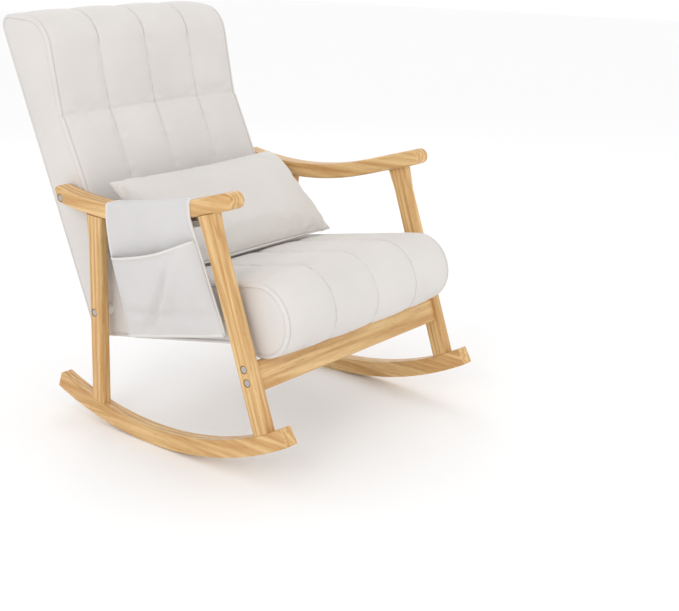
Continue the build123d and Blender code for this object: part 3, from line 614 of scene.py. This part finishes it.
def pillow_cushion():
    """Two cloth panels joined round a slightly hollow rectangle with small ears at its corners."""
    nx, ny = PILLOW_CELLS
    width, height = PILLOW_SIDES
    verts, faces, index = [], [], {}
    for side in (1, -1):
        for i in range(nx + 1):
            for j in range(ny + 1):
                edge = i in (0, nx) or j in (0, ny)
                if edge and side < 0:
                    continue
                u, v = edge_share(i, nx), edge_share(j, ny)
                x = (u - 0.5) * (width - 2 * EDGE_BOW * math.sin(math.pi * v))
                y = (v - 0.5) * (height - 2 * EDGE_BOW * math.sin(math.pi * u))
                depth = min(u, 1 - u) * width, min(v, 1 - v) * height
                nearest = min(depth)
                lift = PILLOW_HALF_DEPTH * fullness(u, 5) * fullness(v, 2.6)
                sag = -PILLOW_SAG * math.sin(math.pi * v * 2) * fullness(u, 5)
                if not edge:
                    lift += sag + pucker(x if depth[1] < depth[0] else y, nearest, 3.7 * side)
                    lift = max(lift, 1.5 * MM)
                index[side, i, j] = len(verts)
                verts.append((x, y, side * (0 if edge else lift)))
    for side in (1, -1):
        at = lambda i, j: index.get((side, i, j), index.get((1, i, j)))
        for i in range(nx):
            for j in range(ny):
                quad = (at(i, j), at(i + 1, j), at(i + 1, j + 1), at(i, j + 1))
                faces.append(quad if side > 0 else quad[::-1])
    made = new_object("lumbar_pillow_cushion", verts, faces)
    rim = [(i, 0) for i in range(nx)] + [(nx, j) for j in range(ny)]
    rim += [(i, ny) for i in range(nx, 0, -1)] + [(0, j) for j in range(ny, 0, -1)]
    return made, [index[1, i, j] for i, j in rim]


def tube(name, points, radius, sides=8):
    """A closed round cord along the points."""
    verts, faces = [], []
    count = len(points)
    up = Vector((0, 0, 1))
    for k, point in enumerate(points):
        ahead = (points[(k + 1) % count] - points[k - 1]).normalized()
        aside = ahead.cross(up).normalized()
        for s in range(sides):
            angle = 2 * math.pi * s / sides
            verts.append(point + (aside * math.cos(angle) + up * math.sin(angle)) * radius)
    for k in range(count):
        for s in range(sides):
            a, b = k * sides + s, k * sides + (s + 1) % sides
            c, d = (k + 1) % count * sides + (s + 1) % sides, (k + 1) % count * sides + s
            faces.append((a, b, c, d))
    made = new_object(name, verts, faces)
    outward(made)
    return made


pillow, pillow_rim = pillow_cushion()
inflate(pillow, pillow_rim, pressure=4.0, frames=10, cap=5 * MM, slack=0.03, stiffness=12)
rim_points = [Vector(coordinates(pillow)[i]) for i in pillow_rim]
pillow_piping = tube("lumbar_pillow_seam", rim_points, SEAM_CORD_RADIUS)
pillow_place = Matrix.Translation((pillow_lo + pillow_hi) / 2) @ Matrix.Rotation(PILLOW_LEAN, 4, "X")
subdivide(pillow)
pillow.data.transform(pillow_place)
pillow_piping.data.transform(pillow_place)


def keep_clear(made, bodies, gap):
    """Presses a piece's surface back where it would run into the given bodies."""
    trees = []
    for body in bodies:
        bm = bmesh.new()
        bm.from_mesh(body.data)
        trees.append(BVHTree.FromBMesh(bm))
        bm.free()
    co = coordinates(made)
    for i, point in enumerate(co):
        place = Vector(point)
        for tree in trees:
            near, normal = tree.find_nearest(place)[:2]
            depth = (place - near).dot(normal)
            if depth < gap:
                place += normal * (gap - depth)
        co[i] = place
    set_coordinates(made, co)


keep_clear(pillow, [back.object, seat.object], 1.0 * MM)

# ---------------------------------------------------------------- cloth pocket

CLOTH = 1.6 * MM
arm_mesh = bmesh.new()
arm_mesh.from_mesh(nodes["armrest_right"].data)
ARM_TREE = BVHTree.FromBMesh(arm_mesh)
arm_mesh.free()
arm_lo, arm_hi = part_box("armrest_right")
ARM_MID_X = (arm_lo.x + arm_hi.x) / 2
sling_lo, sling_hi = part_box("pocket_sling")


def arm_faces(y):
    """Heights of the armrest's underside and top at y."""
    top = ARM_TREE.ray_cast(Vector((ARM_MID_X, y, 2)), Vector((0, 0, -1)))[0].z
    bottom = ARM_TREE.ray_cast(Vector((ARM_MID_X, y, 0)), Vector((0, 0, 1)))[0].z
    return bottom, top


TOP_FRONT_Y = -0.206
TOP_REAR_Y = sling_hi.y
FOOT_FRONT = (sling_lo.y, 0.308)
FOOT_REAR = (0.024, sling_lo.z)
GAP = 1.2 * MM
FOOT_X = -0.3165
FLAP_DROP = 0.024


def edge_y(w, z, front_top, rear_top):
    """Y at share w between the pocket's front and rear edges, at height z of the hanging panel."""
    down_front = (front_top - z) / (front_top - FOOT_FRONT[1])
    down_rear = (rear_top - z) / (rear_top - FOOT_REAR[1])
    front = TOP_FRONT_Y + (FOOT_FRONT[0] - TOP_FRONT_Y) * max(down_front, 0)
    rear = TOP_REAR_Y + (FOOT_REAR[0] - TOP_REAR_Y) * max(down_rear, 0)
    return front + (rear - front) * w


SLING_W = 34
CHORD_SHARE = 0.9
ARM_CORNER_RADIUS = 7 * MM
PANEL_T = 34
OUT_X = arm_lo.x - GAP
IN_X = arm_hi.x + GAP


def sling_path(w):
    """Points from the tape under the arm's inner side, over the arm and down the hanging panel."""
    y = TOP_FRONT_Y + (TOP_REAR_Y - TOP_FRONT_Y) * w
    bottom, arm_top = arm_faces(y)
    ends = [arm_faces(end)[1] for end in (TOP_FRONT_Y, TOP_REAR_Y)]
    top = arm_top + CHORD_SHARE * max(ends[0] + (ends[1] - ends[0]) * w - arm_top, 0)
    round_r = ARM_CORNER_RADIUS
    path = []
    for step in range(5):
        path.append((IN_X, y, bottom - FLAP_DROP + (top - round_r - bottom + FLAP_DROP) * step / 5))
    round_z = top + GAP - round_r
    for step in range(5):
        angle = math.pi / 2 * step / 4
        path.append((IN_X - round_r + round_r * math.cos(angle), y, round_z + round_r * math.sin(angle)))
    for step in range(1, 5):
        path.append((IN_X - round_r + (OUT_X - IN_X + 2 * round_r) * step / 5, y, top + GAP))
    for step in range(5):
        angle = math.pi / 2 * (1 - step / 4)
        path.append((OUT_X + round_r - round_r * math.cos(angle), y, round_z + round_r * math.sin(angle)))
    start_z = top - round_r
    foot_z = FOOT_FRONT[1] + (FOOT_REAR[1] - FOOT_FRONT[1]) * w
    front_bottom = arm_faces(TOP_FRONT_Y)[0]
    rear_bottom = arm_faces(TOP_REAR_Y)[0]
    for step in range(1, PANEL_T + 1):
        share = step / PANEL_T
        z = start_z + (foot_z - start_z) * share
        below = smoothstep((bottom - z) / (bottom - foot_z))
        x = OUT_X - 0.6 * MM + (FOOT_X - OUT_X) * below ** 1.1
        path.append((x, edge_y(w, z, front_bottom, rear_bottom) if z < bottom else y, z))
    return path


def panel_folds(w, share):
    """Shallow folds of the hanging cloth: two soft drags from the arm and a slight hollow."""
    drag = math.sin(9 * w + 3.5 * share + 0.8) * math.sin(math.pi * min(share * 1.15, 1))
    tug = math.exp(-(((w - 0.30 - 0.45 * share) / 0.09) ** 2)) * math.sin(math.pi * share)
    return MM * (3.6 * drag + 5.0 * tug - 2.5 * math.sin(math.pi * w) * math.sin(math.pi * share))


def sheet_grid(name, columns):
    """A sheet from equal columns of points."""
    verts = [point for column in columns for point in column]
    size = len(columns[0])
    faces = []
    for c in range(len(columns) - 1):
        for r in range(size - 1):
            a = c * size + r
            faces.append((a, a + 1, a + size + 1, a + size))
    return new_object(name, verts, faces)


sling_columns = []
for c in range(SLING_W + 1):
    w = c / SLING_W
    path = sling_path(w)
    first = len(path) - PANEL_T
    column = []
    for r, (x, y, z) in enumerate(path):
        if r >= first:
            x += panel_folds(w, (r - first + 1) / PANEL_T)
        column.append((x, y, z))
    sling_columns.append(column)
sling = sheet_grid("pocket_sling_cloth", sling_columns)


def panel_point(w, height):
    """The hanging panel's point at share w along it and the height where z matches."""
    place = w * SLING_W
    c = min(int(place), SLING_W - 1)
    share = place - c
    column = [Vector(a).lerp(Vector(b), share) for a, b in zip(sling_columns[c], sling_columns[c + 1])]
    hanging = column[-PANEL_T - 1 :]
    for upper, lower in zip(hanging, hanging[1:]):
        if lower.z <= height <= upper.z:
            t = (upper.z - height) / (upper.z - lower.z)
            return upper.lerp(lower, t)
    return hanging[-1]


MOUTH_FRONT_Z = 0.506
MOUTH_REAR_Z = 0.425
POUCH_W = 40
POUCH_T = 30
POUCH_BULGE = 21 * MM
pouch_columns = []
for c in range(POUCH_W + 1):
    w = c / POUCH_W
    mouth = MOUTH_FRONT_Z + (MOUTH_REAR_Z - MOUTH_FRONT_Z) * w - 10 * MM * math.sin(math.pi * w)
    foot = panel_point(w, -1).z
    column = []
    for r in range(POUCH_T + 1):
        share = r / POUCH_T
        z = foot + (mouth - foot) * share
        base = panel_point(w, z)
        held = min(w, 1 - w) / 0.16
        open_w = math.sin(math.pi / 2 * min(held, 1)) ** 0.8
        swell = math.sin(math.pi / 2 * min(share / 0.85, 1)) ** 0.85
        out = CLOTH + POUCH_BULGE * open_w * swell
        fold = math.sin(8 * w + 6 * share) * math.sin(math.pi * share) * open_w
        across = w - 0.30 - (0.85 - share) * 0.62
        crease = math.exp(-((across / 0.045) ** 2))
        crease *= smoothstep((0.95 - share) / 0.3) * smoothstep(share / 0.2)
        ridge = math.exp(-(((across + 0.10) / 0.07) ** 2)) * math.sin(math.pi * share)
        low = math.exp(-(((share - 0.22 - 0.10 * w) / 0.07) ** 2))
        out += MM * open_w * (3.5 * fold - 13.0 * crease + 8.5 * ridge - 5.5 * low)
        column.append((base.x - out, base.y, z))
    pouch_columns.append(column)
pouch = sheet_grid("pocket_pouch_cloth", pouch_columns)


def ribbon(name, points, across, width, thickness, rise=0.0):
    """A flat tape along points, of the given width in the across direction, rounded in section."""
    verts, faces = [], []
    sections = [(-0.5, 0), (-0.44, 0.5), (-0.2, 0.62), (0.2, 0.62), (0.44, 0.5), (0.5, 0)]
    sections += [(0.44, -0.5), (0.2, -0.62), (-0.2, -0.62), (-0.44, -0.5)]
    for k, point in enumerate(points):
        ahead = (points[min(k + 1, len(points) - 1)] - points[max(k - 1, 0)]).normalized()
        side = across(k)
        side = (side - ahead * side.dot(ahead)).normalized()
        up = ahead.cross(side)
        for u, v in sections:
            verts.append(point + side * width * u + up * (thickness * v + rise))
    n = len(sections)
    for k in range(len(points) - 1):
        for s in range(n):
            a, b = k * n + s, k * n + (s + 1) % n
            faces.append((a, b, b + n, a + n))
    faces.append(tuple(range(n - 1, -1, -1)))
    faces.append(tuple((len(points) - 1) * n + s for s in range(n)))
    made = new_object(name, verts, faces)
    outward(made)
    return made


front_column = [Vector(p) for p in sling_columns[0]]
rear_column = [Vector(p) for p in sling_columns[-1]]
hem_points = front_column[3:]
HEM_WIDTH = 8 * MM
front_hem = ribbon("pocket_front_binding", hem_points, lambda k: Vector((0, 1, 0)), HEM_WIDTH, 3.4 * MM)
rear_hem = ribbon("pocket_rear_binding", rear_column[3:], lambda k: Vector((0, 1, 0)), HEM_WIDTH, 3.0 * MM)
mouth_points = [Vector(column[-1]) for column in pouch_columns]
mouth_hem = ribbon("pocket_mouth_hem", mouth_points, lambda k: Vector((0, 0, 1)), 6 * MM, 2.6 * MM)
foot_points = [Vector(column[0]) + Vector((0, 0, 2 * MM)) for column in pouch_columns]
foot_hem = ribbon("pocket_foot_hem", foot_points, lambda k: Vector((0, 0, 1)), 8 * MM, 4.6 * MM)

outside = lambda k: Vector((-1, 0, 0))
lines = [
    ([p + Vector((-2.6, 3.6, 0)) * MM for p in hem_points[18:]], outside),
    ([p + Vector((-1.8, 0, -6.0)) * MM for p in mouth_points[2:-2]], outside),
]
pocket_stitches = stitches("pocket_stitching", lines, length=3.2 * MM, gap=1.8 * MM, radius=0.4 * MM)

subdivide(sling)
subdivide(pouch)
thicken(sling, CLOTH)
thicken(pouch, CLOTH)

# ---------------------------------------------------------------- materials


def tree_of(name):
    material = bpy.data.materials.new(name)
    material.use_nodes = True
    tree = material.node_tree
    return material, tree, tree.nodes["Principled BSDF"]


def link(tree, source, output, target, entry):
    tree.links.new(source.outputs[output], target.inputs[entry])


def ramp(tree, stops):
    node = tree.nodes.new("ShaderNodeValToRGB")
    elements = node.color_ramp.elements
    while len(elements) < len(stops):
        elements.new(0.5)
    for element, (place, colour) in zip(elements, stops):
        element.position = place
        element.color = (*colour, 1)
    return node


def texture(tree, kind, vector, **inputs):
    node = tree.nodes.new(kind)
    for name, value in inputs.items():
        node.inputs[name].default_value = value
    tree.links.new(vector, node.inputs["Vector"])
    return node


def math_node(tree, operation, a, b):
    node = tree.nodes.new("ShaderNodeMath")
    node.operation = operation
    for slot, value in enumerate((a, b)):
        if isinstance(value, (int, float)):
            node.inputs[slot].default_value = value
        else:
            tree.links.new(value, node.inputs[slot])
    return node.outputs[0]


def fabric(name, colour, thread, weave_depth, sheen, rough=0.9):
    """Woven cloth: two crossing sets of threads, slubs, and a faint uneven tone."""
    material, tree, shader = tree_of(name)
    place = tree.nodes.new("ShaderNodeTexCoord").outputs["Object"]
    slub = texture(tree, "ShaderNodeTexNoise", place, Scale=60.0, Detail=3.0)
    tone = texture(tree, "ShaderNodeTexNoise", place, Scale=5.0, Detail=4.0)
    fine = texture(tree, "ShaderNodeTexNoise", place, Scale=1.3 / thread, Detail=2.0, Roughness=0.7)
    heights = []
    for direction in ("X", "Y", "Z"):
        wave = texture(tree, "ShaderNodeTexWave", place, Scale=0.5 / thread, Distortion=1.2)
        wave.bands_direction = direction
        wave.inputs["Detail Scale"].default_value = 2.0
        heights.append(wave.outputs["Fac"])
    weave = math_node(tree, "MAXIMUM", math_node(tree, "MULTIPLY", heights[0], heights[1]), heights[2])
    height = math_node(tree, "ADD", math_node(tree, "MULTIPLY", weave, 0.55), fine.outputs["Fac"])
    height = math_node(tree, "ADD", height, math_node(tree, "MULTIPLY", slub.outputs["Fac"], 0.8))
    dark = tuple(c * 0.93 for c in colour)
    light = tuple(min(c * 1.04, 1) for c in colour)
    tint = ramp(tree, [(0.35, dark), (0.65, light)])
    mixed = math_node(tree, "ADD", math_node(tree, "MULTIPLY", tone.outputs["Fac"], 0.55),
                      math_node(tree, "MULTIPLY", fine.outputs["Fac"], 0.45))
    tree.links.new(mixed, tint.inputs["Fac"])
    link(tree, tint, "Color", shader, "Base Color")
    bump = tree.nodes.new("ShaderNodeBump")
    bump.inputs["Strength"].default_value = weave_depth
    bump.inputs["Distance"].default_value = 0.3 * MM
    tree.links.new(height, bump.inputs["Height"])
    link(tree, bump, "Normal", shader, "Normal")
    shader.inputs["Roughness"].default_value = rough
    shader.inputs["Sheen Weight"].default_value = sheen
    shader.inputs["Sheen Roughness"].default_value = 0.45
    shader.inputs["Specular IOR Level"].default_value = 0.25
    return material


def wood(name, direction, light, dark, shift):
    """Lacquered rubberwood: cathedral figure stretched along the piece, and fine pores."""
    material, tree, shader = tree_of(name)
    place = tree.nodes.new("ShaderNodeTexCoord").outputs["Object"]
    turn = Vector((1, 0, 0)).rotation_difference(Vector(direction)).inverted().to_euler()
    mapping = tree.nodes.new("ShaderNodeMapping")
    mapping.inputs["Rotation"].default_value = turn
    mapping.inputs["Location"].default_value = (shift, shift * 0.37, shift * 0.61)
    tree.links.new(place, mapping.inputs["Vector"])
    stretch = tree.nodes.new("ShaderNodeMapping")
    stretch.inputs["Scale"].default_value = (0.055, 1, 1)
    tree.links.new(mapping.outputs["Vector"], stretch.inputs["Vector"])
    along = stretch.outputs["Vector"]
    warp = texture(tree, "ShaderNodeTexNoise", along, Scale=14.0, Detail=2.0)
    rings = texture(tree, "ShaderNodeTexWave", along, Scale=24.0, Distortion=11.0, Detail=3.0)
    rings.bands_direction = "Y"
    rings.inputs["Detail Scale"].default_value = 1.2
    pores = texture(tree, "ShaderNodeTexNoise", along, Scale=650.0, Detail=2.0, Roughness=0.6)
    streak = texture(tree, "ShaderNodeTexNoise", along, Scale=150.0, Detail=4.0)
    figure = math_node(tree, "ADD", math_node(tree, "MULTIPLY", rings.outputs["Fac"], 0.26),
                       math_node(tree, "MULTIPLY", streak.outputs["Fac"], 0.52))
    figure = math_node(tree, "ADD", figure, math_node(tree, "MULTIPLY", warp.outputs["Fac"], 0.30))
    middle = tuple((a + b) / 2 for a, b in zip(light, dark))
    tint = ramp(tree, [(0.32, light), (0.5, middle), (0.72, dark)])
    tree.links.new(figure, tint.inputs["Fac"])
    pore_mask = ramp(tree, [(0.60, (1, 1, 1)), (0.70, (0.74, 0.64, 0.52))])
    link(tree, pores, "Fac", pore_mask, "Fac")
    blend = tree.nodes.new("ShaderNodeMix")
    blend.data_type = "RGBA"
    blend.blend_type = "MULTIPLY"
    blend.inputs["Factor"].default_value = 1.0
    tree.links.new(tint.outputs["Color"], blend.inputs["A"])
    tree.links.new(pore_mask.outputs["Color"], blend.inputs["B"])
    tree.links.new(blend.outputs["Result"], shader.inputs["Base Color"])
    gloss = ramp(tree, [(0.3, (0.34, 0.34, 0.34)), (0.7, (0.46, 0.46, 0.46))])
    link(tree, streak, "Fac", gloss, "Fac")
    link(tree, gloss, "Color", shader, "Roughness")
    bump = tree.nodes.new("ShaderNodeBump")
    bump.inputs["Strength"].default_value = 0.18
    bump.inputs["Distance"].default_value = 0.2 * MM
    tree.links.new(math_node(tree, "ADD", pores.outputs["Fac"], figure), bump.inputs["Height"])
    link(tree, bump, "Normal", shader, "Normal")
    shader.inputs["Coat Weight"].default_value = 0.15
    shader.inputs["Specular IOR Level"].default_value = 0.35
    shader.inputs["Coat Roughness"].default_value = 0.25
    return material


def metal(name, colour, rough):
    material, tree, shader = tree_of(name)
    place = tree.nodes.new("ShaderNodeTexCoord").outputs["Object"]
    grain = texture(tree, "ShaderNodeTexNoise", place, Scale=900.0, Detail=2.0)
    tint = ramp(tree, [(0.3, tuple(c * 0.88 for c in colour)), (0.7, colour)])
    link(tree, grain, "Fac", tint, "Fac")
    link(tree, tint, "Color", shader, "Base Color")
    shine = ramp(tree, [(0.3, (rough * 0.8,) * 3), (0.7, (rough * 1.2,) * 3)])
    link(tree, grain, "Fac", shine, "Fac")
    link(tree, shine, "Color", shader, "Roughness")
    shader.inputs["Metallic"].default_value = 1.0
    return material


def plastic(name, colour, rough):
    material, tree, shader = tree_of(name)
    place = tree.nodes.new("ShaderNodeTexCoord").outputs["Object"]
    grain = texture(tree, "ShaderNodeTexNoise", place, Scale=1200.0, Detail=1.0)
    tint = ramp(tree, [(0.3, tuple(c * 0.94 for c in colour)), (0.7, colour)])
    link(tree, grain, "Fac", tint, "Fac")
    link(tree, tint, "Color", shader, "Base Color")
    bump = tree.nodes.new("ShaderNodeBump")
    bump.inputs["Strength"].default_value = 0.15
    bump.inputs["Distance"].default_value = 0.1 * MM
    link(tree, grain, "Fac", bump, "Height")
    link(tree, bump, "Normal", shader, "Normal")
    shader.inputs["Roughness"].default_value = rough
    return material


def dress(made, material):
    made.data.materials.clear()
    made.data.materials.append(material)


UPHOLSTERY = fabric("upholstery_weave", (0.70, 0.67, 0.645), 0.55 * MM, 0.35, 0.25)
PILLOW_CLOTH = fabric("pillow_weave", (0.69, 0.66, 0.63), 0.55 * MM, 0.35, 0.25)
CANVAS = fabric("pocket_canvas", (0.645, 0.630, 0.625), 0.75 * MM, 0.5, 0.15)
BINDING = fabric("pocket_tape", (0.72, 0.705, 0.68), 0.6 * MM, 0.5, 0.15)
THREAD = fabric("thread", (0.66, 0.63, 0.58), 0.3 * MM, 0.3, 0.1, rough=0.7)
LIGHT_WOOD = (0.77, 0.53, 0.25)
DARK_WOOD = (0.52, 0.275, 0.088)
LEG_LEAN = math.radians(17.5)
REAR_LEAN = math.radians(-3.3)
GRAIN = {
    "runner": (0, 1, 0),
    "armrest": (0, 1, 0),
    "front_leg": (0, math.sin(LEG_LEAN), math.cos(LEG_LEAN)),
    "rear_leg": (0, math.sin(REAR_LEAN), math.cos(REAR_LEAN)),
    "front_rail": (1, 0, 0),
}
INNER_WOOD = wood("bare_inner_wood", (1, 0, 0), (0.74, 0.57, 0.36), (0.58, 0.40, 0.22), 0.3)
FOAM = fabric("padding", (0.80, 0.76, 0.62), 1.2 * MM, 0.5, 0.0)
WEBBING = fabric("elastic_webbing", (0.06, 0.06, 0.06), 1.5 * MM, 0.6, 0.0)
DUST_CLOTH = fabric("dust_cloth", (0.03, 0.03, 0.03), 0.5 * MM, 0.4, 0.0)
STEEL = metal("zinc_steel", (0.50, 0.49, 0.47), 0.36)
PLASTIC = plastic("moulded_spacer", (0.72, 0.70, 0.66), 0.5)
ZIP = plastic("coil_zip", (0.76, 0.74, 0.70), 0.45)
TAPE = fabric("hook_tape", (0.72, 0.72, 0.71), 0.9 * MM, 0.7, 0.1)

slots = {entry["node"]: entry["material_slot"] for entry in frame["record"]["subparts"]}
SLOT_MATERIALS = {
    "inner_wood": INNER_WOOD,
    "dowel_wood": INNER_WOOD,
    "foam": FOAM,
    "webbing": WEBBING,
    "dust_cloth": DUST_CLOTH,
    "steel": STEEL,
    "spacer_plastic": PLASTIC,
    "zip_plastic": ZIP,
    "hook_and_loop": TAPE,
    "upholstery": UPHOLSTERY,
    "pillow_fabric": PILLOW_CLOTH,
    "pocket_canvas": CANVAS,
    "pocket_binding": BINDING,
}
for index, (name, node) in enumerate(sorted(nodes.items())):
    kind = next((k for k in GRAIN if name.startswith(k) and slots[name] == "frame_wood"), None)
    if kind:
        dress(node, wood(f"{name}_wood", GRAIN[kind], LIGHT_WOOD, DARK_WOOD, 1.7 * index))
    else:
        dress(node, SLOT_MATERIALS[slots[name]])

# ---------------------------------------------------------------- pieces on their bodies

BACK_NODES = ("back_cover", "back_rear_cover", "back_side_cover_left", "back_side_cover_right", "back_foam")
SEAT_NODES = ("seat_cover", "seat_side_cover_left", "seat_side_cover_right", "seat_foam")
pieces = [
    (back.object, "chair", "upholstery", UPHOLSTERY, BACK_NODES),
    (seat.object, "chair", "upholstery", UPHOLSTERY, SEAT_NODES),
    (back_stitches, "chair", "upholstery", THREAD, ()),
    (seat_stitches, "chair", "upholstery", THREAD, ()),
    (pillow, "pillow", "pillow_fabric", PILLOW_CLOTH, ("lumbar_pillow",)),
    (pillow_piping, "pillow", "pillow_fabric", PILLOW_CLOTH, ()),
    (sling, "chair", "pocket_canvas", CANVAS, ("pocket_sling",)),
    (pouch, "chair", "pocket_canvas", CANVAS, ("pocket_pouch",)),
    (front_hem, "chair", "pocket_binding", BINDING, ("pocket_hem",)),
    (rear_hem, "chair", "pocket_binding", BINDING, ()),
    (mouth_hem, "chair", "pocket_binding", BINDING, ()),
    (foot_hem, "chair", "pocket_binding", BINDING, ()),
    (pocket_stitches, "chair", "pocket_binding", THREAD, ()),
]
for piece, body, slot, material, replaced in pieces:
    dress(piece, material)
    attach(piece, body)
    if replaced:
        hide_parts(*replaced)

# ---------------------------------------------------------------- floor, light and camera

FLOOR_HALF = 12
FLOOR_Z = -0.0005
floor_corners = [(x * FLOOR_HALF, y * FLOOR_HALF, FLOOR_Z) for x, y in ((-1, -1), (1, -1), (1, 1), (-1, 1))]
floor = new_object("floor", floor_corners, [(0, 1, 2, 3)], smooth=False)
floor_material, _, floor_shader = tree_of("floor")
floor_shader.inputs["Base Color"].default_value = (0.97, 0.97, 0.975, 1)
floor_shader.inputs["Roughness"].default_value = 0.7
dress(floor, floor_material)

world = bpy.data.worlds.new("studio")
world.use_nodes = True
world.node_tree.nodes["Background"].inputs["Color"].default_value = (1.0, 1.0, 1.0, 1)
world.node_tree.nodes["Background"].inputs["Strength"].default_value = 1.0
bpy.context.scene.world = world


def area_light(name, place, target, size, power, colour=(1, 1, 1)):
    lamp = bpy.data.lights.new(name, "AREA")
    lamp.shape = "DISK"
    lamp.size = size
    lamp.energy = power
    lamp.color = colour
    made = bpy.data.objects.new(name, lamp)
    made.location = place
    made.rotation_euler = (Vector(target) - Vector(place)).to_track_quat("-Z", "Y").to_euler()
    bpy.context.scene.collection.objects.link(made)


MIDDLE = (0, 0, 0.5)
area_light("key", (-2.8, -1.2, 2.0), MIDDLE, 1.3, 17, (1.0, 0.99, 0.97))
area_light("fill", (1.2, -3.0, 1.0), MIDDLE, 2.4, 6)
area_light("rim", (1.8, 2.2, 2.4), MIDDLE, 1.6, 8)

FOCAL_PX = 1202.5
IMAGE_WIDTH = 679
SENSOR = 36
camera = bpy.data.cameras.new("camera")
camera.sensor_fit = "HORIZONTAL"
camera.sensor_width = SENSOR
camera.lens = FOCAL_PX * SENSOR / IMAGE_WIDTH
camera.clip_end = 50
eye = bpy.data.objects.new("camera", camera)
HEADING = math.radians(49.93)
DROP = math.radians(17.66)
look = Vector((math.sin(HEADING) * math.cos(DROP), math.cos(HEADING) * math.cos(DROP), -math.sin(DROP)))
eye.location = (-1.98164, -1.99744, 1.13235)
eye.rotation_euler = look.to_track_quat("-Z", "Y").to_euler()
bpy.context.scene.collection.objects.link(eye)
bpy.context.scene.camera = eye
bpy.context.scene.view_settings.view_transform = "Standard"
